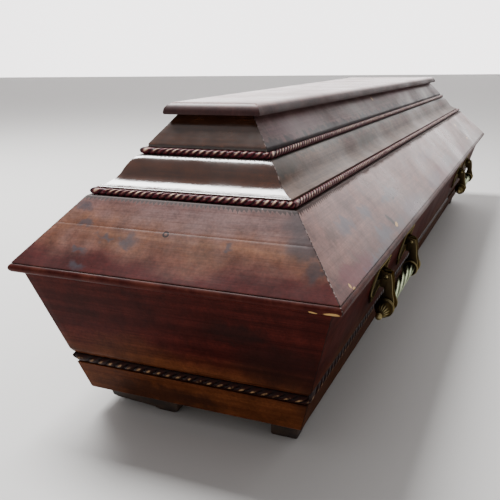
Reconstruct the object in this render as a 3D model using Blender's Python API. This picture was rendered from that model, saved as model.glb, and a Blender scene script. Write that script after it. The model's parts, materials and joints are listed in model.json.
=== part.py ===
"""Wooden coffin: a tapered box under a stepped, hipped lid, with rope mouldings and four swing handles.

The plan is a trapezium, narrow at the foot end (-Y) and wide at the head end (+Y). Every board and
moulding of the box and the lid is one profile, drawn as (inset from the rim's edge, height), swept
along one side of that plan and mitred at both ends.
"""
import math

import bmesh
import bpy
from mathutils import Matrix, Vector

# Plan over the lid's rim
LENGTH = 2.050
FOOT_END_WIDTH = 0.513
HEAD_END_WIDTH = 0.730

# Clearance between pieces that touch
GAP = 0.0003

# Box
BOX_HEIGHT = 0.2195
WALL_THICKNESS = 0.020
WALL_LEAN = 0.28
RIM_OVERHANG = 0.016
BOTTOM_THICKNESS = 0.018
BOTTOM_RECESS = 0.002

# Groove of the box's rope moulding, and the rope in it
GROOVE_BASE = 0.0515
GROOVE_HEIGHT = 0.018
GROOVE_DEPTH = 0.009
GROOVE_LIP = 0.0035
BOX_ROPE_PROUD = 0.0022
BOX_ROPE_PITCH = 0.017
MISSING_ROPE_LENGTH = 0.500

# Lid: rim, lower slope, ogee, frieze and top board
RIM_THICKNESS = 0.0137
RIM_WIDTH = 0.045
SLOPE_SETBACK = 0.004
SLOPE_RUN = 0.0882
SLOPE_RISE = 0.0920
SLOPE_BOARD_WIDTH = 0.0255
LOWER_SEAT_WIDTH = 0.0138
OGEE_RISER = 0.0112
OGEE_RUN = 0.0505
OGEE_RISE = 0.0447
OGEE_BODY_WIDTH = 0.030
OGEE_STEPS = 4
UPPER_SEAT_WIDTH = 0.009
FRIEZE_RISER = 0.0152
FRIEZE_RUN = 0.0375
FRIEZE_RISE = 0.0435
FRIEZE_BOARD_WIDTH = 0.022
TOP_OVERHANG = 0.018
TOP_THICKNESS = 0.0185
TOP_NOSE_RUN = 0.017
TOP_NOSE_STEPS = 4

# Thin rope mouldings of the lid
LID_ROPE_RADIUS = 0.005
LID_ROPE_PITCH = 0.036

# Feet
FOOT_HEIGHT = 0.038
FOOT_DEPTH = 0.070
FOOT_SETBACK = 0.030
BLOCK_FOOT_WIDTH = 0.044
BLOCK_FOOT_INSET = 0.016
BLOCK_FOOT_CHAMFER = 0.003
SHAPED_FOOT_WIDTH = 0.130
SHAPED_FOOT_LOBE = 0.030
SHAPED_FOOT_STEP = 0.004
SHAPED_FOOT_EASE = 0.004

# Handles: their places, measured from the foot end and up from the box's underside
HANDLE_CENTRES = {"foot": 0.446, "head": 1.553}
PIN_HEIGHT = 0.168
PIN_STANDOFF = 0.0140
ARM_SPACING = 0.227
HANDLE_DROP = 0.056

# Handle fittings
PLATE_HALF_WIDTH = 0.048
PLATE_TOP = 0.018
PLATE_BOTTOM = 0.066
PLATE_THICKNESS = 0.0025
LUG_RADIUS = 0.0076
LUG_WIDTH = 0.006
LUG_CLEARANCE = 0.0006
PIN_RADIUS = 0.0025
PIN_CLEARANCE = 0.0008
BARREL_RADIUS = 0.0085
ARM_WIDTH = 0.020
HOOD_BACK = 0.0120
HOOD_DROP = 0.0225
NECK_BACK = 0.0045
NECK_FRONT = 0.0112
BOSS_RADIUS = 0.0155
BOSS_LENGTH = 0.034
DOME_LENGTH = 0.036
BALL_RADIUS = 0.0065
COLLAR_WIDTH = 0.003
COLLAR_PROUD = 0.001
BAR_RADIUS = 0.0100
BAR_LOBES = 8
BAR_LOBE_DEPTH = 0.0014
BAR_TURNS = 0.6
BAR_STEPS = 5
BAR_END_EASE = 0.002
BAR_SOCKET_DEPTH = 0.004
ROUND_SIDES = 10

# Colours of the materials: linear RGB, roughness, metallic
WOOD = ((0.075, 0.020, 0.014), 0.28, 0.0)
ROPE_WOOD = ((0.050, 0.014, 0.011), 0.32, 0.0)
FOOT_WOOD = ((0.030, 0.016, 0.011), 0.55, 0.0)
BRONZE = ((0.060, 0.047, 0.030), 0.42, 0.9)
SILVERED = ((0.420, 0.430, 0.390), 0.25, 1.0)

SIDES = ("foot_end", "right", "head_end", "left")

# Values that follow from the sizes above
TAPER = (HEAD_END_WIDTH - FOOT_END_WIDTH) / 2 / LENGTH
SLANT = math.hypot(1.0, TAPER)
BOX_BASE = FOOT_HEIGHT + GAP
RIM_BASE = BOX_HEIGHT + GAP
RIM_TOP = RIM_BASE + RIM_THICKNESS
SLOPE_BASE = RIM_TOP + GAP
SLOPE_TOP = SLOPE_BASE + SLOPE_RISE
SLOPE_TOP_INSET = SLOPE_SETBACK + SLOPE_RUN
OGEE_BASE = SLOPE_TOP + GAP
OGEE_INSET = SLOPE_TOP_INSET + LOWER_SEAT_WIDTH
OGEE_TOP = OGEE_BASE + OGEE_RISER + OGEE_RISE
OGEE_TOP_INSET = OGEE_INSET + OGEE_RUN
FRIEZE_BASE = OGEE_TOP + GAP
FRIEZE_INSET = OGEE_TOP_INSET + UPPER_SEAT_WIDTH
FRIEZE_TOP = FRIEZE_BASE + FRIEZE_RISER + FRIEZE_RISE
FRIEZE_TOP_INSET = FRIEZE_INSET + FRIEZE_RUN
TOP_BASE = FRIEZE_TOP + GAP
TOP_INSET = FRIEZE_TOP_INSET - TOP_OVERHANG


def clear_scene():
    """Remove every object that the file opened with."""
    for item in list(bpy.data.objects):
        bpy.data.objects.remove(item, do_unlink=True)


def make_material(name, look):
    """Make a Principled material from a colour, a roughness and a metallic value."""
    colour, roughness, metallic = look
    material = bpy.data.materials.new(name)
    material.use_nodes = True
    shader = material.node_tree.nodes["Principled BSDF"]
    shader.inputs["Base Color"].default_value = (*colour, 1.0)
    shader.inputs["Roughness"].default_value = roughness
    shader.inputs["Metallic"].default_value = metallic
    material.diffuse_color = (*colour, 1.0)
    return material


def add_object(name, mesh, look, parent=None):
    """Link a mesh as one named object with its own material."""
    item = bpy.data.objects.new(name, mesh)
    bpy.context.collection.objects.link(item)
    item.parent = parent
    material = make_material(name, look)
    if not mesh.materials:
        mesh.materials.append(material)
    item.material_slots[0].link = "OBJECT"
    item.material_slots[0].material = material
    return item


def mesh_from_faces(name, points, faces):
    """Build a closed mesh from points and faces, with every face turned outwards."""
    mesh = bpy.data.meshes.new(name)
    mesh.from_pydata([tuple(point) for point in points], [], faces)
    shape = bmesh.new()
    shape.from_mesh(mesh)
    bmesh.ops.recalc_face_normals(shape, faces=shape.faces)
    shape.to_mesh(mesh)
    shape.free()
    mesh.update()
    return mesh


def corner(index, inset, height):
    """Corner of the plan at an inset from the rim's edge: 0 and 1 at the foot end, 2 and 3 at the head."""
    along = inset if index in (0, 1) else LENGTH - inset
    across = FOOT_END_WIDTH / 2 + TAPER * along - SLANT * inset
    side = 1 if index in (1, 2) else -1
    return Vector((side * across, along - LENGTH / 2, BOX_BASE + height))


def side_ends(side, inset, height):
    """The two ends of a side's edge at an inset, drawn back from the mitre by half the gap."""
    start = corner(side, inset, height)
    end = corner((side + 1) % 4, inset, height)
    run = (end - start).normalized()
    return start + run * GAP / 2, end - run * GAP / 2


def swept_mesh(name, side, profile):
    """Sweep a closed profile of (inset, height) points along one side, from mitre to mitre."""
    count = len(profile)
    points = [point for inset, height in profile for point in side_ends(side, inset, height)]
    faces = [tuple(range(0, 2 * count, 2)), tuple(range(1, 2 * count, 2))]
    for index in range(count):
        following = (index + 1) % count
        faces.append((2 * index, 2 * index + 1, 2 * following + 1, 2 * following))
    return mesh_from_faces(name, points, faces)


def frame_of_boards(prefix, profile, look):
    """Four mitred pieces of one profile, one along each side of the plan."""
    for side, label in enumerate(SIDES):
        name = f"{prefix}_{label}"
        add_object(name, swept_mesh(name, side, profile), look)


def wall_inset(height):
    """Inset of the box's outer face, which leans inwards towards the bottom."""
    return RIM_OVERHANG + WALL_LEAN * (BOX_HEIGHT - height)


def box_wall_profile():
    """A wall board with its groove for the rope, whose upper lip is eased."""
    groove_top = GROOVE_BASE + GROOVE_HEIGHT
    lip_top = groove_top + 2 * GROOVE_LIP
    return [
        (wall_inset(0.0), 0.0),
        (wall_inset(GROOVE_BASE), GROOVE_BASE),
        (wall_inset(GROOVE_BASE) + GROOVE_DEPTH, GROOVE_BASE),
        (wall_inset(groove_top) + GROOVE_DEPTH, groove_top),
        (wall_inset(groove_top) + GROOVE_LIP, groove_top),
        (wall_inset(lip_top), lip_top),
        (wall_inset(BOX_HEIGHT), BOX_HEIGHT),
        (wall_inset(BOX_HEIGHT) + WALL_THICKNESS, BOX_HEIGHT),
        (wall_inset(0.0) + WALL_THICKNESS, 0.0),
    ]


def bottom_board():
    """The floor of the box, fitted between the leaning walls."""
    levels = (BOTTOM_RECESS, BOTTOM_RECESS + BOTTOM_THICKNESS)
    points = []
    for height in levels:
        inset = wall_inset(height) + WALL_THICKNESS + GAP
        points += [corner(index, inset, height) for index in range(4)]
    faces = [(0, 1, 2, 3), (4, 5, 6, 7)]
    faces += [(index, (index + 1) % 4, (index + 1) % 4 + 4, index + 4) for index in range(4)]
    add_object("bottom_board", mesh_from_faces("bottom_board", points, faces), WOOD)


def rope_mesh(name, side, rows, backs, pitch, missing=0.0):
    """A rope moulding: slanting strands on its face, and flat backs.

    rows holds the (inset, height) points of the lower edge, the strands' crests, the grooves between
    them and the upper edge. backs runs round the back, from the upper edge to the lower one. A strand
    rises from the lower edge at one step to the upper edge at the next.
    """
    lower, crest, groove, upper = rows
    length = (corner(side, *crest) - corner((side + 1) % 4, *crest)).length
    kept = 1.0 - missing / length
    count = max(2, round(length * kept / pitch))
    points = []

    def row(profile_point, shares):
        start, end = side_ends(side, *profile_point)
        first = len(points)
        points.extend(start.lerp(end, kept * share) for share in shares)
        return [first + index for index in range(len(shares))]

    whole = [step / count for step in range(count + 1)]
    half = [(step + 0.5) / count for step in range(count)]
    low, high, top = row(lower, whole), row(crest, whole), row(upper, whole)
    hollow = row(groove, half)
    block_ends = sorted({round(count * part / 8) for part in range(9)})
    back_rows = [row(back, [whole[end] for end in block_ends]) for back in backs]

    faces = []
    for step in range(count):
        following = step + 1
        faces += [
            (low[step], hollow[step], high[step]),
            (low[step], high[following], hollow[step]),
            (low[step], low[following], high[following]),
            (high[step], top[following], top[step]),
            (high[step], hollow[step], top[following]),
            (hollow[step], high[following], top[following]),
        ]
    for edge, back in ((top, back_rows[0]), (low, back_rows[-1])):
        for block in range(len(block_ends) - 1):
            first, last = block_ends[block], block_ends[block + 1]
            middle = (first + last) // 2
            faces += [(edge[step], edge[step + 1], back[block]) for step in range(first, middle)]
            faces.append((edge[middle], back[block], back[block + 1]))
            faces += [(edge[step], edge[step + 1], back[block + 1]) for step in range(middle, last)]
    for one, other in zip(back_rows, back_rows[1:]):
        for block in range(len(block_ends) - 1):
            faces.append((one[block], one[block + 1], other[block + 1], other[block]))
    faces.append((low[0], high[0], top[0], *[back[0] for back in back_rows]))
    faces.append((low[-1], high[-1], top[-1], *[back[-1] for back in back_rows]))
    return mesh_from_faces(name, points, faces)


def box_ropes():
    """Ropes let into the box's grooves; the right-hand one has lost its head-end length."""
    base = GROOVE_BASE + GAP
    top = GROOVE_BASE + GROOVE_HEIGHT - GAP
    middle = (base + top) / 2
    shoulder = GROOVE_LIP
    back = GROOVE_DEPTH - GAP
    rows = (
        (wall_inset(base) + shoulder, base),
        (wall_inset(middle) - BOX_ROPE_PROUD, middle),
        (wall_inset(middle) + BOX_ROPE_PROUD / 2, middle),
        (wall_inset(top) + shoulder, top),
    )
    backs = ((wall_inset(top) + back, top), (wall_inset(base) + back, base))
    for side, label in enumerate(SIDES):
        name = f"box_rope_{label}"
        missing = MISSING_ROPE_LENGTH if label == "right" else 0.0
        add_object(name, rope_mesh(name, side, rows, backs, BOX_ROPE_PITCH, missing), ROPE_WOOD)


def lid_ropes(prefix, riser_inset, shelf):
    """Thin ropes that lie in the angle between a shelf and the riser behind it."""
    inset = riser_inset - GAP - LID_ROPE_RADIUS
    height = shelf + GAP + LID_ROPE_RADIUS

    def on_rope(degrees, share):
        angle = math.radians(degrees)
        reach = share * LID_ROPE_RADIUS
        return inset - reach * math.cos(angle), height + reach * math.sin(angle)

    rows = (on_rope(-60, 1.0), on_rope(40, 1.06), on_rope(40, 0.80), on_rope(125, 1.0))
    backs = ((inset + LID_ROPE_RADIUS, height - LID_ROPE_RADIUS),)
    for side, label in enumerate(SIDES):
        name = f"{prefix}_{label}"
        add_object(name, rope_mesh(name, side, rows, backs, LID_ROPE_PITCH), ROPE_WOOD)


def rim_profile():
    """The lid's flat rim with a half-round nose."""
    radius = RIM_THICKNESS / 2
    nose = []
    for step in range(5):
        angle = math.radians(-90 + 45 * step)
        nose.append((radius * (1 - math.cos(angle)), RIM_BASE + radius * (1 + math.sin(angle))))
    return [(RIM_WIDTH, RIM_BASE), *nose, (RIM_WIDTH, RIM_TOP)]


def slope_profile():
    """The lid's lower boards, which lean inwards."""
    return [
        (SLOPE_SETBACK, SLOPE_BASE),
        (SLOPE_TOP_INSET, SLOPE_TOP),
        (SLOPE_TOP_INSET + SLOPE_BOARD_WIDTH, SLOPE_TOP),
        (SLOPE_SETBACK + SLOPE_BOARD_WIDTH, SLOPE_BASE),
    ]


def bezier(start, control, end, share):
    """Point on a quadratic Bezier curve."""
    rest = 1 - share
    return tuple(rest * rest * a + 2 * rest * share * b + share * share * c
                 for a, b, c in zip(start, control, end))


def ogee_profile():
    """An ogee moulding: a cove below that turns over into a round shoulder."""
    turn = (0.52, 0.43)
    cove = [bezier((0, 0), (0.38, 0.16), turn, step / OGEE_STEPS) for step in range(OGEE_STEPS)]
    shoulder = [bezier(turn, (0.79, 0.95), (1, 1), step / OGEE_STEPS) for step in range(OGEE_STEPS + 1)]
    foot = OGEE_BASE + OGEE_RISER
    face = [(OGEE_INSET + OGEE_RUN * run, foot + OGEE_RISE * rise) for run, rise in cove + shoulder]
    back_top = FRIEZE_INSET + FRIEZE_BOARD_WIDTH
    return [(OGEE_INSET, OGEE_BASE), *face, (back_top, OGEE_TOP), (OGEE_INSET + OGEE_BODY_WIDTH, OGEE_BASE)]


def frieze_profile():
    """The upper sloping boards, with a short upright riser behind the upper rope."""
    return [
        (FRIEZE_INSET, FRIEZE_BASE),
        (FRIEZE_INSET, FRIEZE_BASE + FRIEZE_RISER),
        (FRIEZE_TOP_INSET, FRIEZE_TOP),
        (FRIEZE_TOP_INSET + FRIEZE_BOARD_WIDTH, FRIEZE_TOP),
        (FRIEZE_INSET + FRIEZE_BOARD_WIDTH, FRIEZE_BASE),
    ]


def top_board():
    """The flat top with its quarter-round nose, widest at its underside."""
    rings = [(TOP_INSET, TOP_BASE)]
    for step in range(TOP_NOSE_STEPS + 1):
        angle = math.radians(90 * step / TOP_NOSE_STEPS)
        rise = 0.15 + 0.85 * math.sin(angle)
        rings.append((TOP_INSET + TOP_NOSE_RUN * (1 - math.cos(angle)), TOP_BASE + TOP_THICKNESS * rise))
    points = [corner(index, inset, height) for inset, height in rings for index in range(4)]
    faces = [(0, 1, 2, 3), tuple(len(points) - 4 + index for index in range(4))]
    for ring in range(len(rings) - 1):
        for index in range(4):
            following = (index + 1) % 4
            base = 4 * ring
            faces.append((base + index, base + following, base + 4 + following, base + 4 + index))
    add_object("top_board", mesh_from_faces("top_board", points, faces), WOOD)


def extruded_outline(name, outline, start, depth):
    """Extrude a closed (across, height) outline along Y."""
    count = len(outline)
    points = [(x, start, z) for x, z in outline] + [(x, start + depth, z) for x, z in outline]
    faces = [tuple(range(count)), tuple(range(count, 2 * count))]
    faces += [(i, (i + 1) % count, (i + 1) % count + count, i + count) for i in range(count)]
    return mesh_from_faces(name, points, faces)


def block_foot(name, side, head_end):
    """A plain block foot near a corner, its lower edges eased."""
    inset = wall_inset(0.0) + FOOT_SETBACK
    place = corner(2 if head_end else 1, inset, 0.0)
    start = place.y - (FOOT_DEPTH if head_end else 0.0)
    outer = place.x + FOOT_SETBACK - BLOCK_FOOT_INSET
    inner = outer - BLOCK_FOOT_WIDTH
    ease = BLOCK_FOOT_CHAMFER
    outline = [(inner, FOOT_HEIGHT), (inner, ease), (inner + ease, 0.0),
               (outer - ease, 0.0), (outer, ease), (outer, FOOT_HEIGHT)]
    outline = [(side * x, z) for x, z in outline]
    add_object(name, extruded_outline(name, outline, start, FOOT_DEPTH), FOOT_WOOD)


def shaped_foot(name):
    """The long foot at the foot end's left: shallow outside, with a deeper rounded lobe inside."""
    place = corner(0, wall_inset(0.0) + FOOT_SETBACK, 0.0)
    outer = place.x - FOOT_SETBACK + BLOCK_FOOT_INSET
    inner = outer + SHAPED_FOOT_WIDTH
    lobe = inner - SHAPED_FOOT_LOBE
    ease = SHAPED_FOOT_EASE
    step = SHAPED_FOOT_STEP
    outline = [(outer + ease / 2, FOOT_HEIGHT), (outer, 0.6 * FOOT_HEIGHT), (outer + ease, 2.5 * step),
               (outer + 4 * ease, 2 * step), ((outer + lobe) / 2, 1.4 * step),
               (lobe - 3.5 * ease, step), (lobe - ease, 0.2 * step), (lobe + ease, 0.0),
               (inner - 1.5 * ease, 0.0), (inner, ease), (inner, FOOT_HEIGHT)]
    add_object(name, extruded_outline(name, outline, place.y, FOOT_DEPTH), FOOT_WOOD)


def feet():
    """Three block feet and the shaped one at the foot end's left."""
    shaped_foot("foot_left_front")
    block_foot("foot_right_front", 1, head_end=False)
    block_foot("foot_right_rear", 1, head_end=True)
    block_foot("foot_left_rear", -1, head_end=True)


def turned_mesh(name, profile, sides=ROUND_SIDES):
    """Turn a profile of (place along Y, radius) points round the Y axis."""
    shape = bmesh.new()
    rings = []
    for along, radius in profile:
        if radius == 0:
            rings.append([shape.verts.new((0, along, 0))])
            continue
        turns = [2 * math.pi * (index + 0.5) / sides for index in range(sides)]
        rings.append([shape.verts.new((radius * math.cos(turn), along, radius * math.sin(turn)))
                      for turn in turns])
    for one, other in zip(rings, rings[1:]):
        for index in range(sides):
            following = (index + 1) % sides
            corners = [one[index % len(one)], one[following % len(one)],
                       other[following % len(other)], other[index % len(other)]]
            shape.faces.new(list(dict.fromkeys(corners)))
    for ring in (rings[0], rings[-1]):
        if len(ring) > 1:
            shape.faces.new(ring)
    bmesh.ops.recalc_face_normals(shape, faces=shape.faces)
    mesh = bpy.data.meshes.new(name)
    shape.to_mesh(mesh)
    shape.free()
    return mesh


def combined_mesh(name, base, others):
    """Join meshes with exact Booleans; others holds (mesh, operation) pairs."""
    host = bpy.data.objects.new(name, base)
    bpy.context.collection.objects.link(host)
    helpers = []
    for index, (mesh, operation) in enumerate(others):
        helper = bpy.data.objects.new(f"{name}_helper_{index}", mesh)
        bpy.context.collection.objects.link(helper)
        helper.hide_render = True
        helper.display_type = "WIRE"
        cut = host.modifiers.new(operation.title(), "BOOLEAN")
        cut.operation = operation
        cut.solver = "EXACT"
        cut.object = helper
        helpers.append(helper)
    graph = bpy.context.evaluated_depsgraph_get()
    result = bpy.data.meshes.new_from_object(host.evaluated_get(graph))
    result.name = name
    for item in [host, *helpers]:
        bpy.data.objects.remove(item, do_unlink=True)
    return result


def arm_mesh(outward):
    """A cast arm: a deep hood round the pin, a neck, a boss for the bar, and a domed finial with a ball.

    The pin is at the origin, the arm hangs down -Z, and outward is -1 or 1 along Y for the finial.
    """
    half = ARM_WIDTH / 2
    strap_outline = [(BARREL_RADIUS * math.cos(angle), BARREL_RADIUS * math.sin(angle))
                     for angle in (math.radians(180 * step / 4) for step in range(5))]
    strap_outline += [(-HOOD_BACK, -0.85 * HOOD_DROP), (-0.9 * HOOD_BACK, -HOOD_DROP),
                      (-NECK_BACK, -1.05 * HOOD_DROP), (-NECK_BACK, -0.55 * HANDLE_DROP),
                      (-2 * NECK_BACK, -HANDLE_DROP), (NECK_FRONT, -HANDLE_DROP),
                      (NECK_FRONT, -0.35 * HANDLE_DROP)]
    strap = extruded_outline("arm", strap_outline, -half, ARM_WIDTH)

    shoulder = BOSS_LENGTH / 2
    collar_radius = BOSS_RADIUS + COLLAR_PROUD
    profile = [(-shoulder, BOSS_RADIUS), (shoulder - COLLAR_WIDTH, BOSS_RADIUS), (shoulder, collar_radius),
               (shoulder + COLLAR_WIDTH, collar_radius)]
    for step in range(1, 4):
        share = step / 4
        profile.append((shoulder + DOME_LENGTH * share, BOSS_RADIUS * math.cos(math.radians(80 * share))))
    ball_centre = shoulder + DOME_LENGTH + 0.6 * BALL_RADIUS
    for step in range(4):
        angle = math.radians(-50 + 45 * step)
        profile.append((ball_centre + BALL_RADIUS * math.sin(angle), BALL_RADIUS * math.cos(angle)))
    profile.append((ball_centre + BALL_RADIUS, 0))
    boss = turned_mesh("boss", profile)
    boss.transform(Matrix.Translation((0, 0, -HANDLE_DROP)))

    eye = turned_mesh("eye", [(-2 * half, PIN_RADIUS + PIN_CLEARANCE), (2 * half, PIN_RADIUS + PIN_CLEARANCE)])
    socket_end = BAR_SOCKET_DEPTH + GAP - shoulder
    socket_radius = (BAR_RADIUS + GAP) / math.cos(math.pi / ROUND_SIDES)
    socket = turned_mesh("socket", [(-2 * shoulder, socket_radius), (socket_end, socket_radius)])
    socket.transform(Matrix.Translation((0, 0, -HANDLE_DROP)))
    mesh = combined_mesh("handle_arm", strap, [(boss, "UNION"), (eye, "DIFFERENCE"), (socket, "DIFFERENCE")])
    if outward < 0:
        mesh.transform(Matrix.Scale(-1, 4, (0, 1, 0)))
        mesh.flip_normals()
    return mesh


def plate_mesh():
    """A back plate with two lugs that carry the pin; its back lies on the leaning wall.

    The pin is at the origin with the wall upright behind it; the lean is applied last.
    """
    half = PLATE_HALF_WIDTH
    tall = PLATE_TOP + PLATE_BOTTOM
    outline = [(-0.94, 1.0), (-1.0, 0.72), (-0.98, 0.5), (-0.76, 0.3), (-0.42, 0.2), (-0.2, 0.05), (0, 0.0)]
    outline += [(-across, up) for across, up in reversed(outline[:-1])]
    outline = [(half * across, tall * up - PLATE_BOTTOM) for across, up in outline]
    back = -PIN_STANDOFF + GAP
    front = back + PLATE_THICKNESS
    count = len(outline)
    points = [(depth, across, up) for depth in (back, front) for across, up in outline]
    faces = [tuple(range(count)), tuple(range(count, 2 * count))]
    faces += [(i, (i + 1) % count, (i + 1) % count + count, i + count) for i in range(count)]
    plate = mesh_from_faces("plate", points, faces)

    lug_start = ARM_WIDTH / 2 + LUG_CLEARANCE
    lug_outline = [(LUG_RADIUS * math.cos(angle), LUG_RADIUS * math.sin(angle))
                   for angle in (math.radians(-90 + 180 * step / 6) for step in range(7))]
    root = back + PLATE_THICKNESS / 2
    lug_outline += [(root, LUG_RADIUS), (root, -LUG_RADIUS)]
    lugs = [(extruded_outline("lug", lug_outline, start, LUG_WIDTH), "UNION")
            for start in (lug_start, -lug_start - LUG_WIDTH)]
    reach = lug_start + LUG_WIDTH / 2
    pin = turned_mesh("pin", [(-reach, PIN_RADIUS), (reach, PIN_RADIUS)])
    mesh = combined_mesh("handle_plate", plate, [*lugs, (pin, "UNION")])
    mesh.transform(Matrix.Rotation(math.atan(WALL_LEAN), 4, "Y"))
    return mesh


def bar_mesh():
    """The twisted bar between the two bosses, with plain round ends."""
    sides = 2 * BAR_LOBES
    face = ARM_SPACING / 2 - BOSS_LENGTH / 2
    end = face + BAR_SOCKET_DEPTH
    places = [-end, BAR_END_EASE - face]
    places += [(2 * step / BAR_STEPS - 1) * (face - 3 * BAR_END_EASE) for step in range(BAR_STEPS + 1)]
    places += [face - BAR_END_EASE, end]
    shape = bmesh.new()
    rings = []
    for place in places:
        plain = abs(place) > face - 2 * BAR_END_EASE
        turn = math.pi * BAR_TURNS * max(-1.0, min(1.0, place / face))
        ring = []
        for index in range(sides):
            radius = BAR_RADIUS - (BAR_LOBE_DEPTH if index % 2 and not plain else 0.0)
            angle = turn + 2 * math.pi * index / sides
            ring.append(shape.verts.new((radius * math.cos(angle), place, radius * math.sin(angle))))
        rings.append(ring)
    for one, other in zip(rings, rings[1:]):
        for index in range(sides):
            following = (index + 1) % sides
            shape.faces.new((one[index], one[following], other[following], other[index]))
    shape.faces.new(rings[0])
    shape.faces.new(rings[-1])
    bmesh.ops.triangulate(shape, faces=shape.faces)
    bmesh.ops.recalc_face_normals(shape, faces=shape.faces)
    mesh = bpy.data.meshes.new("handle_bar")
    shape.to_mesh(mesh)
    shape.free()
    return mesh


def handle_pivot(name, right, centre):
    """An empty on the hinge pin's axis: its X points out of the wall and its Y runs along the side."""
    inset = wall_inset(PIN_HEIGHT)
    across = FOOT_END_WIDTH / 2 + TAPER * centre - SLANT * inset
    outward = Vector((1 if right else -1, -TAPER, 0)).normalized()
    standoff = PIN_STANDOFF * math.hypot(1.0, WALL_LEAN)
    wall_point = Vector((across if right else -across, centre - LENGTH / 2, BOX_BASE + PIN_HEIGHT))
    pivot = bpy.data.objects.new(name, None)
    bpy.context.collection.objects.link(pivot)
    pivot.location = wall_point + outward * standoff
    pivot.rotation_euler = (0, 0, math.atan2(outward.y, outward.x))
    return pivot


def handles():
    """Four swing handles: two plates, two arms and a twisted bar each."""
    arms = {-1: arm_mesh(-1), 1: arm_mesh(1)}
    plate = plate_mesh()
    bar = bar_mesh()
    for side in ("right", "left"):
        for end, centre in HANDLE_CENTRES.items():
            prefix = f"handle_{side}_{end}"
            pivot = handle_pivot(f"{prefix}_pivot", side == "right", centre)
            add_object(f"{prefix}_bar", bar, SILVERED, pivot).location = (0, 0, -HANDLE_DROP)
            for number, sign in ((1, -1), (2, 1)):
                place = (0, sign * ARM_SPACING / 2, 0)
                add_object(f"{prefix}_arm_{number}", arms[sign], BRONZE, pivot).location = place
                add_object(f"{prefix}_plate_{number}", plate, BRONZE, pivot).location = place


def build_coffin():
    """Make the whole coffin."""
    clear_scene()
    bottom_board()
    frame_of_boards("box_wall", box_wall_profile(), WOOD)
    box_ropes()
    feet()
    frame_of_boards("lid_rim", rim_profile(), WOOD)
    frame_of_boards("lid_slope", slope_profile(), WOOD)
    lid_ropes("lower_rope", OGEE_INSET, SLOPE_TOP)
    frame_of_boards("lid_ogee", ogee_profile(), WOOD)
    lid_ropes("upper_rope", FRIEZE_INSET, OGEE_TOP)
    frame_of_boards("lid_frieze", frieze_profile(), WOOD)
    top_board()
    handles()


build_coffin()
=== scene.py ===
"""Looks of an old tapered wooden coffin: fine boards, rope mouldings, feet and handles over the CAD frame.

Boards and mouldings are profiles carried along one side of the tapered plan. Ropes, bars, arms and
plates are grids of two parameters. Every surface is worked out in metres in the frame's own axes.
"""

import json
import math

import bmesh
import bpy
import numpy as np
from bpy.props import FloatProperty, FloatVectorProperty, IntProperty, PointerProperty
from mathutils import Matrix, Vector


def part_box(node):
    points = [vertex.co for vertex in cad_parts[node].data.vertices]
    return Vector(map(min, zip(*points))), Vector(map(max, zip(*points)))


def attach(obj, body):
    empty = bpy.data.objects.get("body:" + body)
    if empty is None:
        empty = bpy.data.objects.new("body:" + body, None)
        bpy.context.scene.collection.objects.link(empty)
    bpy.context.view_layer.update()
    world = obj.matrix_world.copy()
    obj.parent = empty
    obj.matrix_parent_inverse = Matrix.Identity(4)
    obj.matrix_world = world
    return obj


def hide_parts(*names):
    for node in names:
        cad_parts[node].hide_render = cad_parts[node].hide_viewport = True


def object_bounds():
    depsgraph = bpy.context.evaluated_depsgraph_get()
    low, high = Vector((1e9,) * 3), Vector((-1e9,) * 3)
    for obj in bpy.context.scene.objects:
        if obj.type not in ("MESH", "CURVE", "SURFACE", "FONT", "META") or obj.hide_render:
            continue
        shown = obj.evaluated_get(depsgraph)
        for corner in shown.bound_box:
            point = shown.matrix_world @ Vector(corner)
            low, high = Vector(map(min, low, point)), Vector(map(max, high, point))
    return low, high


bl_info = {
    "name": "Old wooden coffin",
    "version": (1, 0, 0),
    "blender": (4, 5, 0),
    "location": "View3D > Sidebar > Coffin",
    "description": "Builds the boards, rope mouldings, feet and swing handles of an old wooden coffin",
    "category": "Add Mesh",
}

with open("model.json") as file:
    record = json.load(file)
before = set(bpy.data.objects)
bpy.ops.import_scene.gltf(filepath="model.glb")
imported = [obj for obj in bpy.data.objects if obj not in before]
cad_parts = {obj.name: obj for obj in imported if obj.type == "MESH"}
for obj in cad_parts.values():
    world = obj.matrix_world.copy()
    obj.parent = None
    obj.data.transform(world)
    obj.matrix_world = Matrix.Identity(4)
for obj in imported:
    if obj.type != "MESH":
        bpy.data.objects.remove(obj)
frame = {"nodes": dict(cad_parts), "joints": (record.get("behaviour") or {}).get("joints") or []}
CAD_LOW, CAD_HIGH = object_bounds()

SIDES = ("foot_end", "right", "head_end", "left")
GAP = 0.0003
LENGTH = CAD_HIGH.y - CAD_LOW.y
HEAD_WIDTH = CAD_HIGH.x - CAD_LOW.x
FOOT_WIDTH = 2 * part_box("lid_rim_foot_end")[1].x + GAP
TAPER = (HEAD_WIDTH - FOOT_WIDTH) / 2 / LENGTH
SLANT = math.hypot(1.0, TAPER)


def linear(code):
    """Linear RGB of an sRGB hex colour."""
    channels = [int(code[start:start + 2], 16) / 255 for start in (1, 3, 5)]
    return tuple(c / 12.92 if c <= 0.04045 else ((c + 0.055) / 1.055) ** 2.4 for c in channels)


def size(name, description, default, **more):
    """A length property in metres."""
    return FloatProperty(name=name, description=description, default=default, unit="LENGTH", precision=4, **more)


def colour(name, description, code):
    """A colour property from an sRGB hex colour."""
    return FloatVectorProperty(name=name, description=description, default=linear(code), subtype="COLOR",
                               size=3, min=0.0, max=1.0)


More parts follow.
